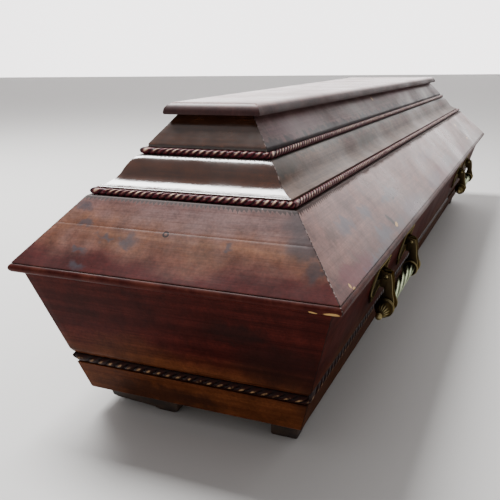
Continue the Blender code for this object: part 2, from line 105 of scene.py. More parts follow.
class CoffinSizes(bpy.types.PropertyGroup):
    """Sizes of the boards, mouldings and handles."""

    wall_thickness: size("Wall thickness", "Thickness of the box's boards, measured level", 0.020)
    edge_ease: size("Edge easing", "Radius of the worn edges of the boards", 0.0016)
    mitre_ease: size("Mitre easing", "How far the worn mitres fall back from the face", 0.0006)
    groove_base: size("Groove base", "Height of the box rope's groove over the box's underside", 0.0515)
    groove_height: size("Groove height", "Height of the box rope's groove", 0.018)
    groove_depth: size("Groove depth", "Depth of the box rope's groove", 0.009)
    groove_lip: size("Groove lip", "How far the wall falls back over the groove", 0.0035)
    box_rope_pitch: size("Box rope pitch", "Distance between the strands of the box's rope", 0.017)
    lid_rope_pitch: size("Lid rope pitch", "Distance between the strands of the lid's ropes", 0.011)
    lid_rope_radius: size("Lid rope radius", "Radius of the lid's ropes", 0.005)
    missing_rope: size("Missing rope", "Length that the right-hand box rope has lost at the head end", 0.500)
    plank_seam: size("Plank seam", "Depth of the open seam between two planks", 0.00010)
    bar_radius: size("Bar radius", "Radius of the twisted handle bars", 0.0100)
    bar_flutes: IntProperty(name="Bar flutes", description="Number of flutes round a bar", default=6, min=3)
    bar_turns: FloatProperty(name="Bar turns", description="Turns of the flutes along a bar", default=0.75)
    boss_radius: size("Boss radius", "Radius of the cups that hold a bar", 0.0155)
    dome_flutes: IntProperty(name="Dome flutes", description="Number of flutes round a finial", default=14, min=4)


class CoffinColours(bpy.types.PropertyGroup):
    """Colours of the wood and the metals."""

    stain: colour("Stain", "Red-brown stain of the lid", "#461a19")
    faded: colour("Faded wood", "Stained wood that light has faded to orange brown", "#704a36")
    # Grey of aged varnish, laid over the wood also as a painted sheen
    bloom_and_sheen: colour("Bloom", "Grey bloom in old varnish", "#6f5655")
    box_stain: colour("Box stain", "Dark maroon stain of the box", "#461712")
    box_warm: colour("Warm box wood", "Warmer brown low on the box", "#63361c")
    rope_stain: colour("Rope stain", "Dark stain of the box's rope mouldings", "#27100c")
    lid_rope_stain: colour("Lid rope stain", "Maroon stain of the lid's rope mouldings", "#4f1a24")
    # The paler crest colours of both ropes are painted glints
    rope_glint: colour("Rubbed rope", "Crests of the strands, rubbed to gold brown", "#a8845e")
    lid_rope_glint: colour("Rubbed lid rope", "Crests of the lid ropes' strands, rubbed to cream", "#d6bd9f")
    blotch: colour("Blotches", "Blue-grey spots in the varnish", "#36363d")
    bare: colour("Bare wood", "Pale wood where the edge has chipped", "#b8935c")
    bronze: colour("Bronze", "Dark antique bronze", "#3a3020")
    bronze_rubbed: colour("Rubbed bronze", "Edges of the bronze, rubbed to brass", "#93865f")
    silver: colour("Silvered bar", "Worn silvering of the bars", "#a9b096")
    tarnish: colour("Tarnish", "Tarnish between the flutes", "#23281b")
    floor: colour("Floor", "The pale studio floor", "#b9b8b6")


class CoffinStage(bpy.types.PropertyGroup):
    """Strength of the studio light."""

    surround: FloatProperty(name="Surround", description="Strength of the white surround on its dim side", default=0.6)
    horizon: FloatProperty(name="Horizon", description="Strength of the surround's horizon", default=3.8)
    beyond: FloatProperty(name="Beyond", description="Strength of the surround above its horizon", default=5.0)
    overhead: FloatProperty(name="Overhead", description="Power of the soft box overhead", default=500.0, unit="POWER")


# Where the profile of each board lies: insets from the rim's edge, and heights


def reach(node):
    """Lowest and highest inset, then lowest and highest height, of a foot-end piece."""
    low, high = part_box(node)
    return low.y + LENGTH / 2, high.y + LENGTH / 2, low.z, high.z


def plan_corners(index, inset, height):
    """Corners of the plan: half the width grows with the taper and shrinks with the slanted inset."""
    along = inset if index in (0, 1) else LENGTH - inset
    across = FOOT_WIDTH / 2 + TAPER * along - SLANT * inset
    side = 1 if index in (1, 2) else -1
    return np.stack([side * across, along - LENGTH / 2, height], axis=-1)


def swept(side, profile, shares, mitre_ease=0.0):
    """Carry a profile along a side: each point runs straight from mitre to mitre.

    At the two mitres the profile shrinks towards its middle by mitre_ease.
    """
    start = plan_corners(side, profile[:, 0], profile[:, 1])
    end = plan_corners((side + 1) % 4, profile[:, 0], profile[:, 1])
    run = (end - start) / np.linalg.norm(end - start, axis=1, keepdims=True)
    start = start + run * GAP / 2
    end = end - run * GAP / 2
    grid = start[:, None] + (end - start)[:, None] * shares[None, :, None]
    for column in (0, -1):
        inward = grid[:, column].mean(axis=0) - grid[:, column]
        inward /= np.linalg.norm(inward, axis=1, keepdims=True)
        grid[:, column] += inward * mitre_ease
    return grid


def side_length(side, inset):
    """Length of a side of the plan at an inset."""
    inset = np.array([inset])
    return float(np.linalg.norm(plan_corners((side + 1) % 4, inset, inset) - plan_corners(side, inset, inset)))


def stations(length, count, ease=0.0018):
    """Shares along a piece: even steps, and a short step at each end."""
    places = np.concatenate([np.linspace(0, length, count), [ease, length - ease]])
    return np.unique(places) / length


def eased(before, at, after, radius):
    """Rounded corner: a quadratic curve between points one radius along both edges, with a row beyond each."""
    at = np.asarray(at, float)
    back = np.asarray(before, float) - at
    forth = np.asarray(after, float) - at
    back /= np.linalg.norm(back)
    forth /= np.linalg.norm(forth)
    share = np.linspace(0, 1, 5)[:, None]
    arc = at + (1 - share) ** 2 * back * radius + share ** 2 * forth * radius
    return np.vstack([at + 1.7 * radius * back, arc, at + 1.7 * radius * forth])


def eased_loop(corners, radii):
    """A closed profile with every corner eased, and how worn each row is."""
    corners = [np.asarray(corner, float) for corner in corners]
    count = len(corners)
    rows = [eased(corners[i - 1], corners[i], corners[(i + 1) % count], radii[i]) for i in range(count)]
    worn = np.tile([0.0, 0.15, 0.8, 1.0, 0.8, 0.15, 0.0], count)
    return np.vstack(rows), worn


def curve(points, worn=0.0):
    """Profile rows that are already smooth, all equally worn."""
    points = np.asarray(points, float)
    return points, np.full(len(points), worn)


def chain(*parts):
    """Join profile parts into one profile."""
    return np.vstack([rows for rows, _ in parts]), np.concatenate([worn for _, worn in parts])


def corner_part(before, at, after, radius):
    """One eased corner as a profile part."""
    return eased(before, at, after, radius), np.array([0.0, 0.15, 0.8, 1.0, 0.8, 0.15, 0.0])


def bezier(start, control, end, count):
    """Quadratic curve from start to end, bent towards its control point."""
    share = np.linspace(0, 1, count)[:, None]
    start, control, end = (np.asarray(point, float) for point in (start, control, end))
    return (1 - share) ** 2 * start + 2 * share * (1 - share) * control + share ** 2 * end


# Shells: grids whose rows run round a closed profile and whose columns run along the piece


def shell(grid, worn=None, mitre=None, offset=0.0):
    """Faces, UV map and point values of a closed shell with an n-sided cap at each end.

    U is the distance along the piece and V the distance round the profile, both in metres.
    """
    rows, columns = grid.shape[:2]
    index = np.arange(rows * columns).reshape(rows, columns)
    index = np.vstack([index, index[:1]])
    quads = np.stack([index[:-1, :-1], index[1:, :-1], index[1:, 1:], index[:-1, 1:]], axis=-1).reshape(-1, 4)
    middle = grid.mean(axis=0)
    along = np.concatenate([[0.0], np.cumsum(np.linalg.norm(np.diff(middle, axis=0), axis=1))])
    centre = grid[:, columns // 2]
    ring = np.vstack([centre, centre[:1]])
    around = np.concatenate([[0.0], np.cumsum(np.linalg.norm(np.diff(ring, axis=0), axis=1))])
    u, v = np.meshgrid(along + offset, around + 0.37 * offset)
    uv = np.stack([u, v], axis=-1)
    loops = np.stack([uv[:-1, :-1], uv[1:, :-1], uv[1:, 1:], uv[:-1, 1:]], axis=2).reshape(-1, 2)
    caps = [index[:-1, 0].tolist(), index[:-1, -1].tolist()]
    loops = np.vstack([loops, uv[:-1, 0], uv[:-1, -1]])
    worn = np.zeros((rows, columns)) if worn is None else np.broadcast_to(worn, (rows, columns))
    mitre = np.ones((rows, columns)) if mitre is None else np.broadcast_to(mitre, (rows, columns))
    return {"points": grid.reshape(-1, 3), "faces": quads.tolist() + caps, "uv": loops,
            "worn": worn.reshape(-1), "mitre": mitre.reshape(-1)}


def make_piece(name, shells, material, body, nodes, crease=38.0):
    """Put shells into one mesh at the origin, close its seams, turn it outwards and hang it in the frame."""
    starts = np.cumsum([0] + [len(one["points"]) for one in shells])
    faces = [[corner + int(start) for corner in face] for one, start in zip(shells, starts) for face in one["faces"]]
    mesh = bpy.data.meshes.new(name)
    mesh.from_pydata(np.vstack([one["points"] for one in shells]), [], faces)
    mesh.uv_layers.new(name="board")
    mesh.uv_layers["board"].data.foreach_set("uv", np.vstack([one["uv"] for one in shells]).ravel())
    for label in ("worn", "mitre"):
        values = mesh.attributes.new(label, "FLOAT", "POINT")
        values.data.foreach_set("value", np.concatenate([one[label] for one in shells]).astype(np.float32))
    shape = bmesh.new()
    shape.from_mesh(mesh)
    bmesh.ops.remove_doubles(shape, verts=shape.verts, dist=1e-6)
    bmesh.ops.recalc_face_normals(shape, faces=shape.faces)
    shape.to_mesh(mesh)
    shape.free()
    mesh.shade_smooth()
    mesh.set_sharp_from_angle(angle=math.radians(crease))
    mesh.materials.append(material)
    piece = bpy.data.objects.new(name, mesh)
    bpy.context.scene.collection.objects.link(piece)
    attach(piece, body)
    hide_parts(*nodes)
    return piece


def board(name, node, side, profile, worn, material, count):
    """One mitred board with its profile, in count even steps along its side."""
    sizes = bpy.context.scene.coffin_sizes
    length = side_length(side, float(profile[:, 0].min()))
    shares = stations(length, count)
    grid = swept(side, profile, shares, sizes.mitre_ease)
    ends = np.minimum(shares, 1 - shares) * length
    one = shell(grid, worn[:, None], ends[None, :], offset=1.31 * side + 0.17 * len(node))
    make_piece(name, [one], material, "coffin", [node])


# Materials


def add_node(tree, kind, settings=None, links=None):
    """Add a node, set its attributes or input values, and link sockets into its inputs."""
    item = tree.nodes.new(kind)
    for key, value in (settings or {}).items():
        if isinstance(key, str) and hasattr(item, key):
            setattr(item, key, value)
        else:
            item.inputs[key].default_value = value
    for key, socket in (links or {}).items():
        tree.links.new(socket, item.inputs[key])
    return item


def new_material(name):
    """An empty Principled material, and its tree and shader."""
    material = bpy.data.materials.new(name)
    material.use_nodes = True
    return material, material.node_tree, material.node_tree.nodes["Principled BSDF"]


def spots(tree, place, marks):
    """Mask of soft ellipsoids: 1 in each centre, 0 from its radii outwards. marks holds (centre, radii, turn)."""
    total = None
    for centre, radii, turn in marks:
        local = add_node(tree, "ShaderNodeMapping", {"vector_type": "TEXTURE", "Location": centre,
                                                     "Rotation": turn, "Scale": radii}, {"Vector": place})
        ball = add_node(tree, "ShaderNodeTexGradient", {"gradient_type": "SPHERICAL"},
                        {"Vector": local.outputs["Vector"]}).outputs["Fac"]
        if total is None:
            total = ball
        else:
            total = add_node(tree, "ShaderNodeMath", {"operation": "MAXIMUM"}, {0: total, 1: ball}).outputs[0]
    return total


def stained_wood(name, light, dark, low, high, fade=(0.0, 1.0), wander=0.03, bloom_and_sheen=None, bloom_and_sheen_at=(9.0, 10.0),
                 blotches=(), blotch=None, clouds=(), bare=(), scars=(), knots=(), rope_shadow_at=None,
                 hang=0.009, haze_and_sheen=0.0, crumbs=(0.30, 0.24, 0.22),
                 roughness=0.22, dry=0.0, sheen=0.3, edge=0.5):
    """Softwood boards, stained red brown and varnished long ago.

    The eye sees long darker grain lines and fine pores under a worn gloss, colour that fades from low to
    high between the two heights of fade, grey of aged varnish and painted sheen high up, blue-grey blotches, and
    pale bare wood on chipped edges. Fibres are about 1.2 mm wide and 90 mm long, grain lines about 15 mm apart.
    """
    colours = bpy.context.scene.coffin_colours
    material, tree, shader = new_material(name)
    place = add_node(tree, "ShaderNodeTexCoord").outputs["Object"]
    lie = add_node(tree, "ShaderNodeUVMap", {"uv_map": "board"}).outputs["UV"]
    height = add_node(tree, "ShaderNodeSeparateXYZ", None, {"Vector": place}).outputs["Z"]

    fibre_place = add_node(tree, "ShaderNodeMapping", {"Scale": (12, 520, 1)}, {"Vector": lie})
    fibre = add_node(tree, "ShaderNodeTexNoise", {"Scale": 1.0, "Detail": 4.0, "Roughness": 0.65},
                     {"Vector": fibre_place.outputs[0]}).outputs["Fac"]
    figure_place = add_node(tree, "ShaderNodeMapping", {"Scale": (1.8, 74, 1)}, {"Vector": lie})
    figure = add_node(tree, "ShaderNodeTexNoise", {"Scale": 1.0, "Detail": 6.0, "Roughness": 0.66, "Distortion": 0.5},
                      {"Vector": figure_place.outputs[0]}).outputs["Fac"]
    cloud = add_node(tree, "ShaderNodeTexNoise", {"Scale": 6.0, "Detail": 6.0, "Roughness": 0.62},
                     {"Vector": place}).outputs["Fac"]
    mottle = add_node(tree, "ShaderNodeTexNoise", {"Scale": 30.0, "Detail": 5.0, "Roughness": 0.66},
                      {"Vector": place}).outputs["Fac"]
    speckle = add_node(tree, "ShaderNodeTexNoise", {"Scale": 240.0, "Detail": 3.0, "Roughness": 0.6},
                       {"Vector": place}).outputs["Fac"]

    # Fading: height plus a wandering cloud, from low to high
    drift = add_node(tree, "ShaderNodeMath", {"operation": "MULTIPLY_ADD", 1: 2 * wander, 2: -wander},
                     {0: cloud}).outputs[0]
    level = add_node(tree, "ShaderNodeMath", {"operation": "ADD"}, {0: height, 1: drift}).outputs[0]
    faded = add_node(tree, "ShaderNodeMapRange", {"interpolation_type": "SMOOTHSTEP", "From Min": fade[0],
                                                  "From Max": fade[1]}, {"Value": level}).outputs[0]
    ground = add_node(tree, "ShaderNodeMix", {"data_type": "RGBA", 6: (*low, 1), 7: (*high, 1)},
                      {0: faded}).outputs[2]
    # Grey over the given heights: partly varnish greyed with age, partly a painted sheen high on the slope
    if bloom_and_sheen is not None:
        grey = add_node(tree, "ShaderNodeMapRange", {"interpolation_type": "SMOOTHSTEP", "From Min": bloom_and_sheen_at[0],
                                                     "From Max": bloom_and_sheen_at[1], "To Max": 0.85},
                        {"Value": level}).outputs[0]
        ground = add_node(tree, "ShaderNodeMix", {"data_type": "RGBA", 7: (*bloom_and_sheen, 1)},
                          {0: grey, 6: ground}).outputs[2]

    # A grey veil, stronger where the wood is faded: partly varnish greyed with age, partly a painted sheen
    if haze_and_sheen:
        haze_and_sheen_veil = add_node(tree, "ShaderNodeTexNoise", {"Scale": 11.0, "Detail": 6.0, "Roughness": 0.7},
                        {"Vector": lie}).outputs["Fac"]
        haze_and_sheen_veil = add_node(tree, "ShaderNodeMapRange", {"From Min": 0.44, "From Max": 0.64, "To Max": haze_and_sheen},
                        {"Value": haze_and_sheen_veil}).outputs[0]
        haze_and_sheen_veil = add_node(tree, "ShaderNodeMath", {"operation": "MULTIPLY"}, {0: haze_and_sheen_veil, 1: faded}).outputs[0]
        ground = add_node(tree, "ShaderNodeMix", {"data_type": "RGBA", 7: (*colours.bloom_and_sheen, 1)},
                          {0: haze_and_sheen_veil, 6: ground}).outputs[2]

    # Grain: broad lines, then fibres, laid over the ground by multiplying
    lines = add_node(tree, "ShaderNodeMapRange", {"From Min": 0.38, "From Max": 0.62}, {"Value": figure}).outputs[0]
    line_tint = add_node(tree, "ShaderNodeMix", {"data_type": "RGBA", 6: (*dark, 1), 7: (*light, 1)},
                         {0: lines}).outputs[2]
    wood = add_node(tree, "ShaderNodeMix", {"data_type": "RGBA", "blend_type": "MULTIPLY", 0: 1.0},
                    {6: ground, 7: line_tint}).outputs[2]
    pores = add_node(tree, "ShaderNodeMapRange", {"From Min": 0.30, "From Max": 0.58, "To Min": 0.72, "To Max": 1.0},
                     {"Value": fibre}).outputs[0]
    patchy = add_node(tree, "ShaderNodeMapRange", {"From Min": 0.30, "From Max": 0.70, "To Min": 0.64, "To Max": 1.30},
                      {"Value": mottle}).outputs[0]
    grit = add_node(tree, "ShaderNodeMapRange", {"From Min": 0.30, "From Max": 0.70, "To Min": 0.86, "To Max": 1.10},
                    {"Value": speckle}).outputs[0]
    shade = add_node(tree, "ShaderNodeMath", {"operation": "MULTIPLY"}, {0: pores, 1: patchy}).outputs[0]
    shade = add_node(tree, "ShaderNodeMath", {"operation": "MULTIPLY"}, {0: shade, 1: grit}).outputs[0]
    wood = add_node(tree, "ShaderNodeVectorMath", {"operation": "SCALE"}, {0: wood, "Scale": shade}).outputs[0]

    # Edges rubbed to paler wood, broken up by the mottling
    rub = add_node(tree, "ShaderNodeAttribute", {"attribute_name": "worn"}).outputs["Fac"]
    broken = add_node(tree, "ShaderNodeMapRange", {"From Min": 0.42, "From Max": 0.66, "To Max": edge},
                      {"Value": mottle}).outputs[0]
    rubbed = add_node(tree, "ShaderNodeMath", {"operation": "MULTIPLY"}, {0: rub, 1: broken}).outputs[0]
    wood = add_node(tree, "ShaderNodeMix", {"data_type": "RGBA", 7: (*colours.faded, 1)},
                    {0: rubbed, 6: wood}).outputs[2]

    # Mitres: a dirty crack with pale broken bits
    end = add_node(tree, "ShaderNodeAttribute", {"attribute_name": "mitre"}).outputs["Fac"]
    crack = add_node(tree, "ShaderNodeMapRange", {"From Min": 0.0005, "From Max": 0.0014, "To Min": 0.85, "To Max": 0.0},
                     {"Value": end}).outputs[0]
    bits = add_node(tree, "ShaderNodeMapRange", {"From Min": 0.52, "From Max": 0.60}, {"Value": speckle}).outputs[0]
    dirt = add_node(tree, "ShaderNodeMix", {"data_type": "RGBA", 6: (0.02, 0.012, 0.01, 1), 7: (*crumbs, 1)},
                    {0: bits}).outputs[2]
    wood = add_node(tree, "ShaderNodeMix", {"data_type": "RGBA"}, {0: crack, 6: wood, 7: dirt}).outputs[2]

    # Ragged edges for the blotches and chips: the place is shaken by a fine noise
    if blotches or clouds or bare or scars or knots:
        shake = add_node(tree, "ShaderNodeTexNoise", {"Scale": 60.0, "Detail": 3.0}, {"Vector": place}).outputs["Color"]
        centred = add_node(tree, "ShaderNodeVectorMath", {"operation": "SUBTRACT", 1: (0.5, 0.5, 0.5)},
                           {0: shake}).outputs[0]
        ragged = add_node(tree, "ShaderNodeVectorMath", {"operation": "MULTIPLY_ADD", 1: (0.035, 0.035, 0.035)},
                          {0: centred, 2: place}).outputs[0]
        slight = add_node(tree, "ShaderNodeVectorMath", {"operation": "MULTIPLY_ADD", 1: (0.006, 0.006, 0.006)},
                          {0: centred, 2: place}).outputs[0]
    if blotches:
        mask = spots(tree, ragged, blotches)
        frayed = add_node(tree, "ShaderNodeMath", {"operation": "MULTIPLY_ADD", 1: 1.7, 2: -0.85}, {0: mottle}).outputs[0]
        frayed = add_node(tree, "ShaderNodeMath", {"operation": "ADD"}, {0: mask, 1: frayed}).outputs[0]
        soft = add_node(tree, "ShaderNodeMapRange", {"interpolation_type": "SMOOTHSTEP", "From Min": 0.0,
                                                     "From Max": 0.75, "To Max": 0.68}, {"Value": frayed}).outputs[0]
        near = add_node(tree, "ShaderNodeMapRange", {"From Min": 0.0, "From Max": 0.25}, {"Value": mask}).outputs[0]
        soft = add_node(tree, "ShaderNodeMath", {"operation": "MULTIPLY"}, {0: soft, 1: near}).outputs[0]
        wood = add_node(tree, "ShaderNodeMix", {"data_type": "RGBA", 7: (*(blotch or colours.blotch), 1)},
                        {0: soft, 6: wood}).outputs[2]
    for tint, share, marks in clouds:
        mask = spots(tree, ragged, marks)
        soft = add_node(tree, "ShaderNodeMapRange", {"interpolation_type": "SMOOTHSTEP", "From Max": 0.60,
                                                     "To Max": share}, {"Value": mask}).outputs[0]
        soft = add_node(tree, "ShaderNodeMath", {"operation": "MULTIPLY"}, {0: soft, 1: pores}).outputs[0]
        wood = add_node(tree, "ShaderNodeMix", {"data_type": "RGBA", 7: (*linear(tint), 1)},
                        {0: soft, 6: wood}).outputs[2]
    if knots:
        mask = spots(tree, place, knots)
        ring = add_node(tree, "ShaderNodeMath", {"operation": "COMPARE", 1: 0.36, 2: 0.25}, {0: mask}).outputs[0]
        wood = add_node(tree, "ShaderNodeMix", {"data_type": "RGBA", 7: (0.020, 0.012, 0.012, 1)},
                        {0: ring, 6: wood}).outputs[2]
    for marks, tint in ((scars, (0.015, 0.010, 0.012)), (bare, colours.bare)):
        if marks:
            mask = spots(tree, slight, marks)
            sharp = add_node(tree, "ShaderNodeMapRange", {"From Min": 0.25, "From Max": 0.40},
                             {"Value": mask}).outputs[0]
            wood = add_node(tree, "ShaderNodeMix", {"data_type": "RGBA", 7: (*tint, 1)},
                            {0: sharp, 6: wood}).outputs[2]

    gloss = add_node(tree, "ShaderNodeMapRange", {"From Min": 0.30, "From Max": 0.70, "To Min": roughness - 0.07,
                                                  "To Max": roughness + 0.15}, {"Value": cloud}).outputs[0]

    if dry:
        drier = add_node(tree, "ShaderNodeMath", {"operation": "MULTIPLY_ADD", 1: -dry, 2: dry}, {0: faded}).outputs[0]
        gloss = add_node(tree, "ShaderNodeMath", {"operation": "ADD"}, {0: gloss, 1: drier}).outputs[0]

    # Painted rope shadow and reflection: dull dark tooth shapes, one to a strand, about hang below the height given
    if rope_shadow_at is not None:
        along = add_node(tree, "ShaderNodeSeparateXYZ", None, {"Vector": lie}).outputs["X"]
        tooth = add_node(tree, "ShaderNodeMath", {"operation": "PINGPONG", 1: 0.0040}, {0: along}).outputs[0]
        tall = height
        for source, share in ((tooth, 110 * hang), (mottle, 1.0 * hang), (speckle, 0.7 * hang)):
            tall = add_node(tree, "ShaderNodeMath", {"operation": "MULTIPLY_ADD", 1: share},
                            {0: source, 2: tall}).outputs[0]
        rope_shadow = add_node(tree, "ShaderNodeMapRange", {"From Min": rope_shadow_at + 0.58 * hang, "From Max": rope_shadow_at + 0.70 * hang,
                                                      "To Max": 0.8}, {"Value": tall}).outputs[0]
        under = add_node(tree, "ShaderNodeMath", {"operation": "LESS_THAN", 1: rope_shadow_at + 0.0005}, {0: height}).outputs[0]
        rope_shadow = add_node(tree, "ShaderNodeMath", {"operation": "MULTIPLY"}, {0: rope_shadow, 1: under}).outputs[0]
        wood = add_node(tree, "ShaderNodeMix", {"data_type": "RGBA", 7: (0.012, 0.007, 0.006, 1)},
                        {0: rope_shadow, 6: wood}).outputs[2]
        gloss = add_node(tree, "ShaderNodeMix", {"data_type": "FLOAT", 3: 0.75}, {0: rope_shadow, 2: gloss}).outputs[0]

    tree.links.new(wood, shader.inputs["Base Color"])
    shader.inputs["Specular IOR Level"].default_value = sheen
    tree.links.new(gloss, shader.inputs["Roughness"])
    relief = add_node(tree, "ShaderNodeMath", {"operation": "MULTIPLY_ADD", 1: 0.35}, {0: fibre, 2: figure}).outputs[0]
    bump = add_node(tree, "ShaderNodeBump", {"Strength": 0.25, "Distance": 0.0004}, {"Height": relief})
    swell = add_node(tree, "ShaderNodeBump", {"Strength": 0.35, "Distance": 0.004},
                     {"Height": cloud, "Normal": bump.outputs[0]})
    tree.links.new(swell.outputs[0], shader.inputs["Normal"])
    return material


def rope_wood(name, stain, rubbed, glint_from, sheen):
    """Pressed rope moulding in stained softwood, with painted shade in the grooves and painted glints on the crests."""
    material, tree, shader = new_material(name)
    place = add_node(tree, "ShaderNodeTexCoord").outputs["Object"]
    crest = add_node(tree, "ShaderNodeAttribute", {"attribute_name": "worn"}).outputs["Fac"]
    mottle = add_node(tree, "ShaderNodeTexNoise", {"Scale": 90.0, "Detail": 4.0}, {"Vector": place}).outputs["Fac"]
    # Painted shade: the grooves between the strands go nearly black
    body = add_node(tree, "ShaderNodeMapRange", {"From Min": 0.30, "From Max": 0.95}, {"Value": crest}).outputs[0]
    base = add_node(tree, "ShaderNodeMix", {"data_type": "RGBA", 6: (0.010, 0.005, 0.005, 1),
                                            7: (*stain, 1)}, {0: body}).outputs[2]
    # Painted glints: the highest crests of the strands take the paler colour, broken up by the mottling
    top = add_node(tree, "ShaderNodeMapRange", {"From Min": glint_from, "From Max": 0.99}, {"Value": crest}).outputs[0]
    broken = add_node(tree, "ShaderNodeMapRange", {"From Min": 0.40, "From Max": 0.58, "To Max": 0.85},
                      {"Value": mottle}).outputs[0]
    share = add_node(tree, "ShaderNodeMath", {"operation": "MULTIPLY"}, {0: top, 1: broken}).outputs[0]
    paint = add_node(tree, "ShaderNodeMix", {"data_type": "RGBA", 7: (*rubbed, 1)}, {0: share, 6: base}).outputs[2]
    tree.links.new(paint, shader.inputs["Base Color"])
    shader.inputs["Roughness"].default_value = 0.36
    shader.inputs["Specular IOR Level"].default_value = sheen
    bump = add_node(tree, "ShaderNodeBump", {"Strength": 0.25, "Distance": 0.0004}, {"Height": mottle})
    tree.links.new(bump.outputs[0], shader.inputs["Normal"])
    return material


def rough_wood(name, code_light, code_dark, scale):
    """Unvarnished board: dry, dull and dusty, with grain along the length in broad streaks."""
    material, tree, shader = new_material(name)
    place = add_node(tree, "ShaderNodeTexCoord").outputs["Object"]
    stretch = add_node(tree, "ShaderNodeMapping", {"Scale": scale}, {"Vector": place})
    grain = add_node(tree, "ShaderNodeTexNoise", {"Scale": 1.0, "Detail": 6.0, "Roughness": 0.65},
                     {"Vector": stretch.outputs[0]}).outputs["Fac"]
    range_of = add_node(tree, "ShaderNodeMapRange", {"From Min": 0.35, "From Max": 0.65}, {"Value": grain}).outputs[0]
    paint = add_node(tree, "ShaderNodeMix", {"data_type": "RGBA", 6: (*linear(code_dark), 1),
                                             7: (*linear(code_light), 1)}, {0: range_of}).outputs[2]
    tree.links.new(paint, shader.inputs["Base Color"])
    shader.inputs["Roughness"].default_value = 0.62
    bump = add_node(tree, "ShaderNodeBump", {"Strength": 0.4, "Distance": 0.0006}, {"Height": grain})
    tree.links.new(bump.outputs[0], shader.inputs["Normal"])
    return material


def cast_metal(name, hollow, crest, roughness, rim, spread=(0.35, 0.95)):
    """Cast or drawn metal with dark patina in the hollows and rubbed, brighter crests."""
    material, tree, shader = new_material(name)
    place = add_node(tree, "ShaderNodeTexCoord").outputs["Object"]
    rub = add_node(tree, "ShaderNodeAttribute", {"attribute_name": "worn"}).outputs["Fac"]
    mottle = add_node(tree, "ShaderNodeTexNoise", {"Scale": 160.0, "Detail": 5.0, "Roughness": 0.6},
                      {"Vector": place}).outputs["Fac"]
    shaken = add_node(tree, "ShaderNodeMath", {"operation": "MULTIPLY_ADD", 1: 0.5, 2: -0.25}, {0: mottle}).outputs[0]
    level = add_node(tree, "ShaderNodeMath", {"operation": "ADD"}, {0: rub, 1: shaken}).outputs[0]
    share = add_node(tree, "ShaderNodeMapRange", {"From Min": spread[0], "From Max": spread[1]},
                     {"Value": level}).outputs[0]
    paint = add_node(tree, "ShaderNodeMix", {"data_type": "RGBA", 6: (*hollow, 1), 7: (*crest, 1)},
                     {0: share}).outputs[2]
    tree.links.new(paint, shader.inputs["Base Color"])
    shader.inputs["Metallic"].default_value = 1.0
    shader.inputs["Specular Tint"].default_value = (*rim, 1)
    gloss = add_node(tree, "ShaderNodeMapRange", {"From Min": 0.3, "From Max": 0.7, "To Min": roughness - 0.06,
                                                  "To Max": roughness + 0.14}, {"Value": mottle}).outputs[0]
    tree.links.new(gloss, shader.inputs["Roughness"])
    bump = add_node(tree, "ShaderNodeBump", {"Strength": 0.3, "Distance": 0.0003}, {"Height": mottle})
    tree.links.new(bump.outputs[0], shader.inputs["Normal"])
    return material


# Profiles, as (inset, height) rows


def wall_profile():
    """Leaning wall board with the rope's groove near its foot."""
    sizes = bpy.context.scene.coffin_sizes
    outer, inner, base, top = reach("box_wall_foot_end")
    lean = (inner - outer - sizes.wall_thickness) / (top - base)
    low, high = base + sizes.groove_base, base + sizes.groove_base + sizes.groove_height
    lip = high + 2 * sizes.groove_lip

    def face(height, depth=0.0):
        return (outer + lean * (top - height) + depth, height)

    corners = [face(base), face(low), face(low, sizes.groove_depth), face(high, sizes.groove_depth),
               face(high, sizes.groove_lip), face(lip), face(top), face(top, sizes.wall_thickness),
               face(base, sizes.wall_thickness)]
    radii = [0.0022, 0.0012, 0.0005, 0.0005, 0.0008, 0.0030, 0.0012, 0.0015, 0.0015]
    return eased_loop(corners, radii)


def rim_profile():
    """Flat rim whose nose is a half round."""
    outer, inner, base, top = reach("lid_rim_foot_end")
    radius = (top - base) / 2
    angle = np.radians(np.linspace(-90, 90, 15))
    nose = np.stack([outer + radius * (1 - np.cos(angle)), base + radius * (1 + np.sin(angle))], axis=-1)
    land = [(outer + 1.5 * radius, base)]
    upper = [(outer + 1.5 * radius, top)]
    return chain(curve(land), (nose, 0.9 * np.cos(angle - 0.5).clip(0, 1) ** 2), curve(upper),
                 corner_part((outer, top), (inner, top), (inner, base), 0.0012),
                 corner_part((inner, top), (inner, base), (outer, base), 0.0012))


def slope_profile(seam):
    """Leaning lid board. seam is the share of the rise where two planks meet, or None."""
    sizes = bpy.context.scene.coffin_sizes
    outer, inner, base, top = reach("lid_slope_foot_end")
    board_width = 0.0255
    foot, head = np.array([outer, base]), np.array([inner - board_width, top])
    parts = [corner_part((outer + board_width, base), foot, head, 0.0020)]
    if seam is not None:
        run = head - foot
        length = np.linalg.norm(run)
        normal = np.array([run[1], -run[0]]) / length
        places = seam + np.array([-0.004, -0.0004, 0.0, 0.0004, 0.004]) / length
        depth = np.array([0.0, 0.0, sizes.plank_seam, 0.0, 0.0])
        rows = foot + places[:, None] * run + depth[:, None] * normal
        parts.append((rows, np.array([0.0, 0.1, 0.0, 0.2, 0.0])))
    parts += [corner_part(foot, head, (inner, top), sizes.edge_ease),
              corner_part(head, (inner, top), (outer + board_width, base), 0.0015),
              corner_part((inner, top), (outer + board_width, base), foot, 0.0015)]
    return chain(*parts)


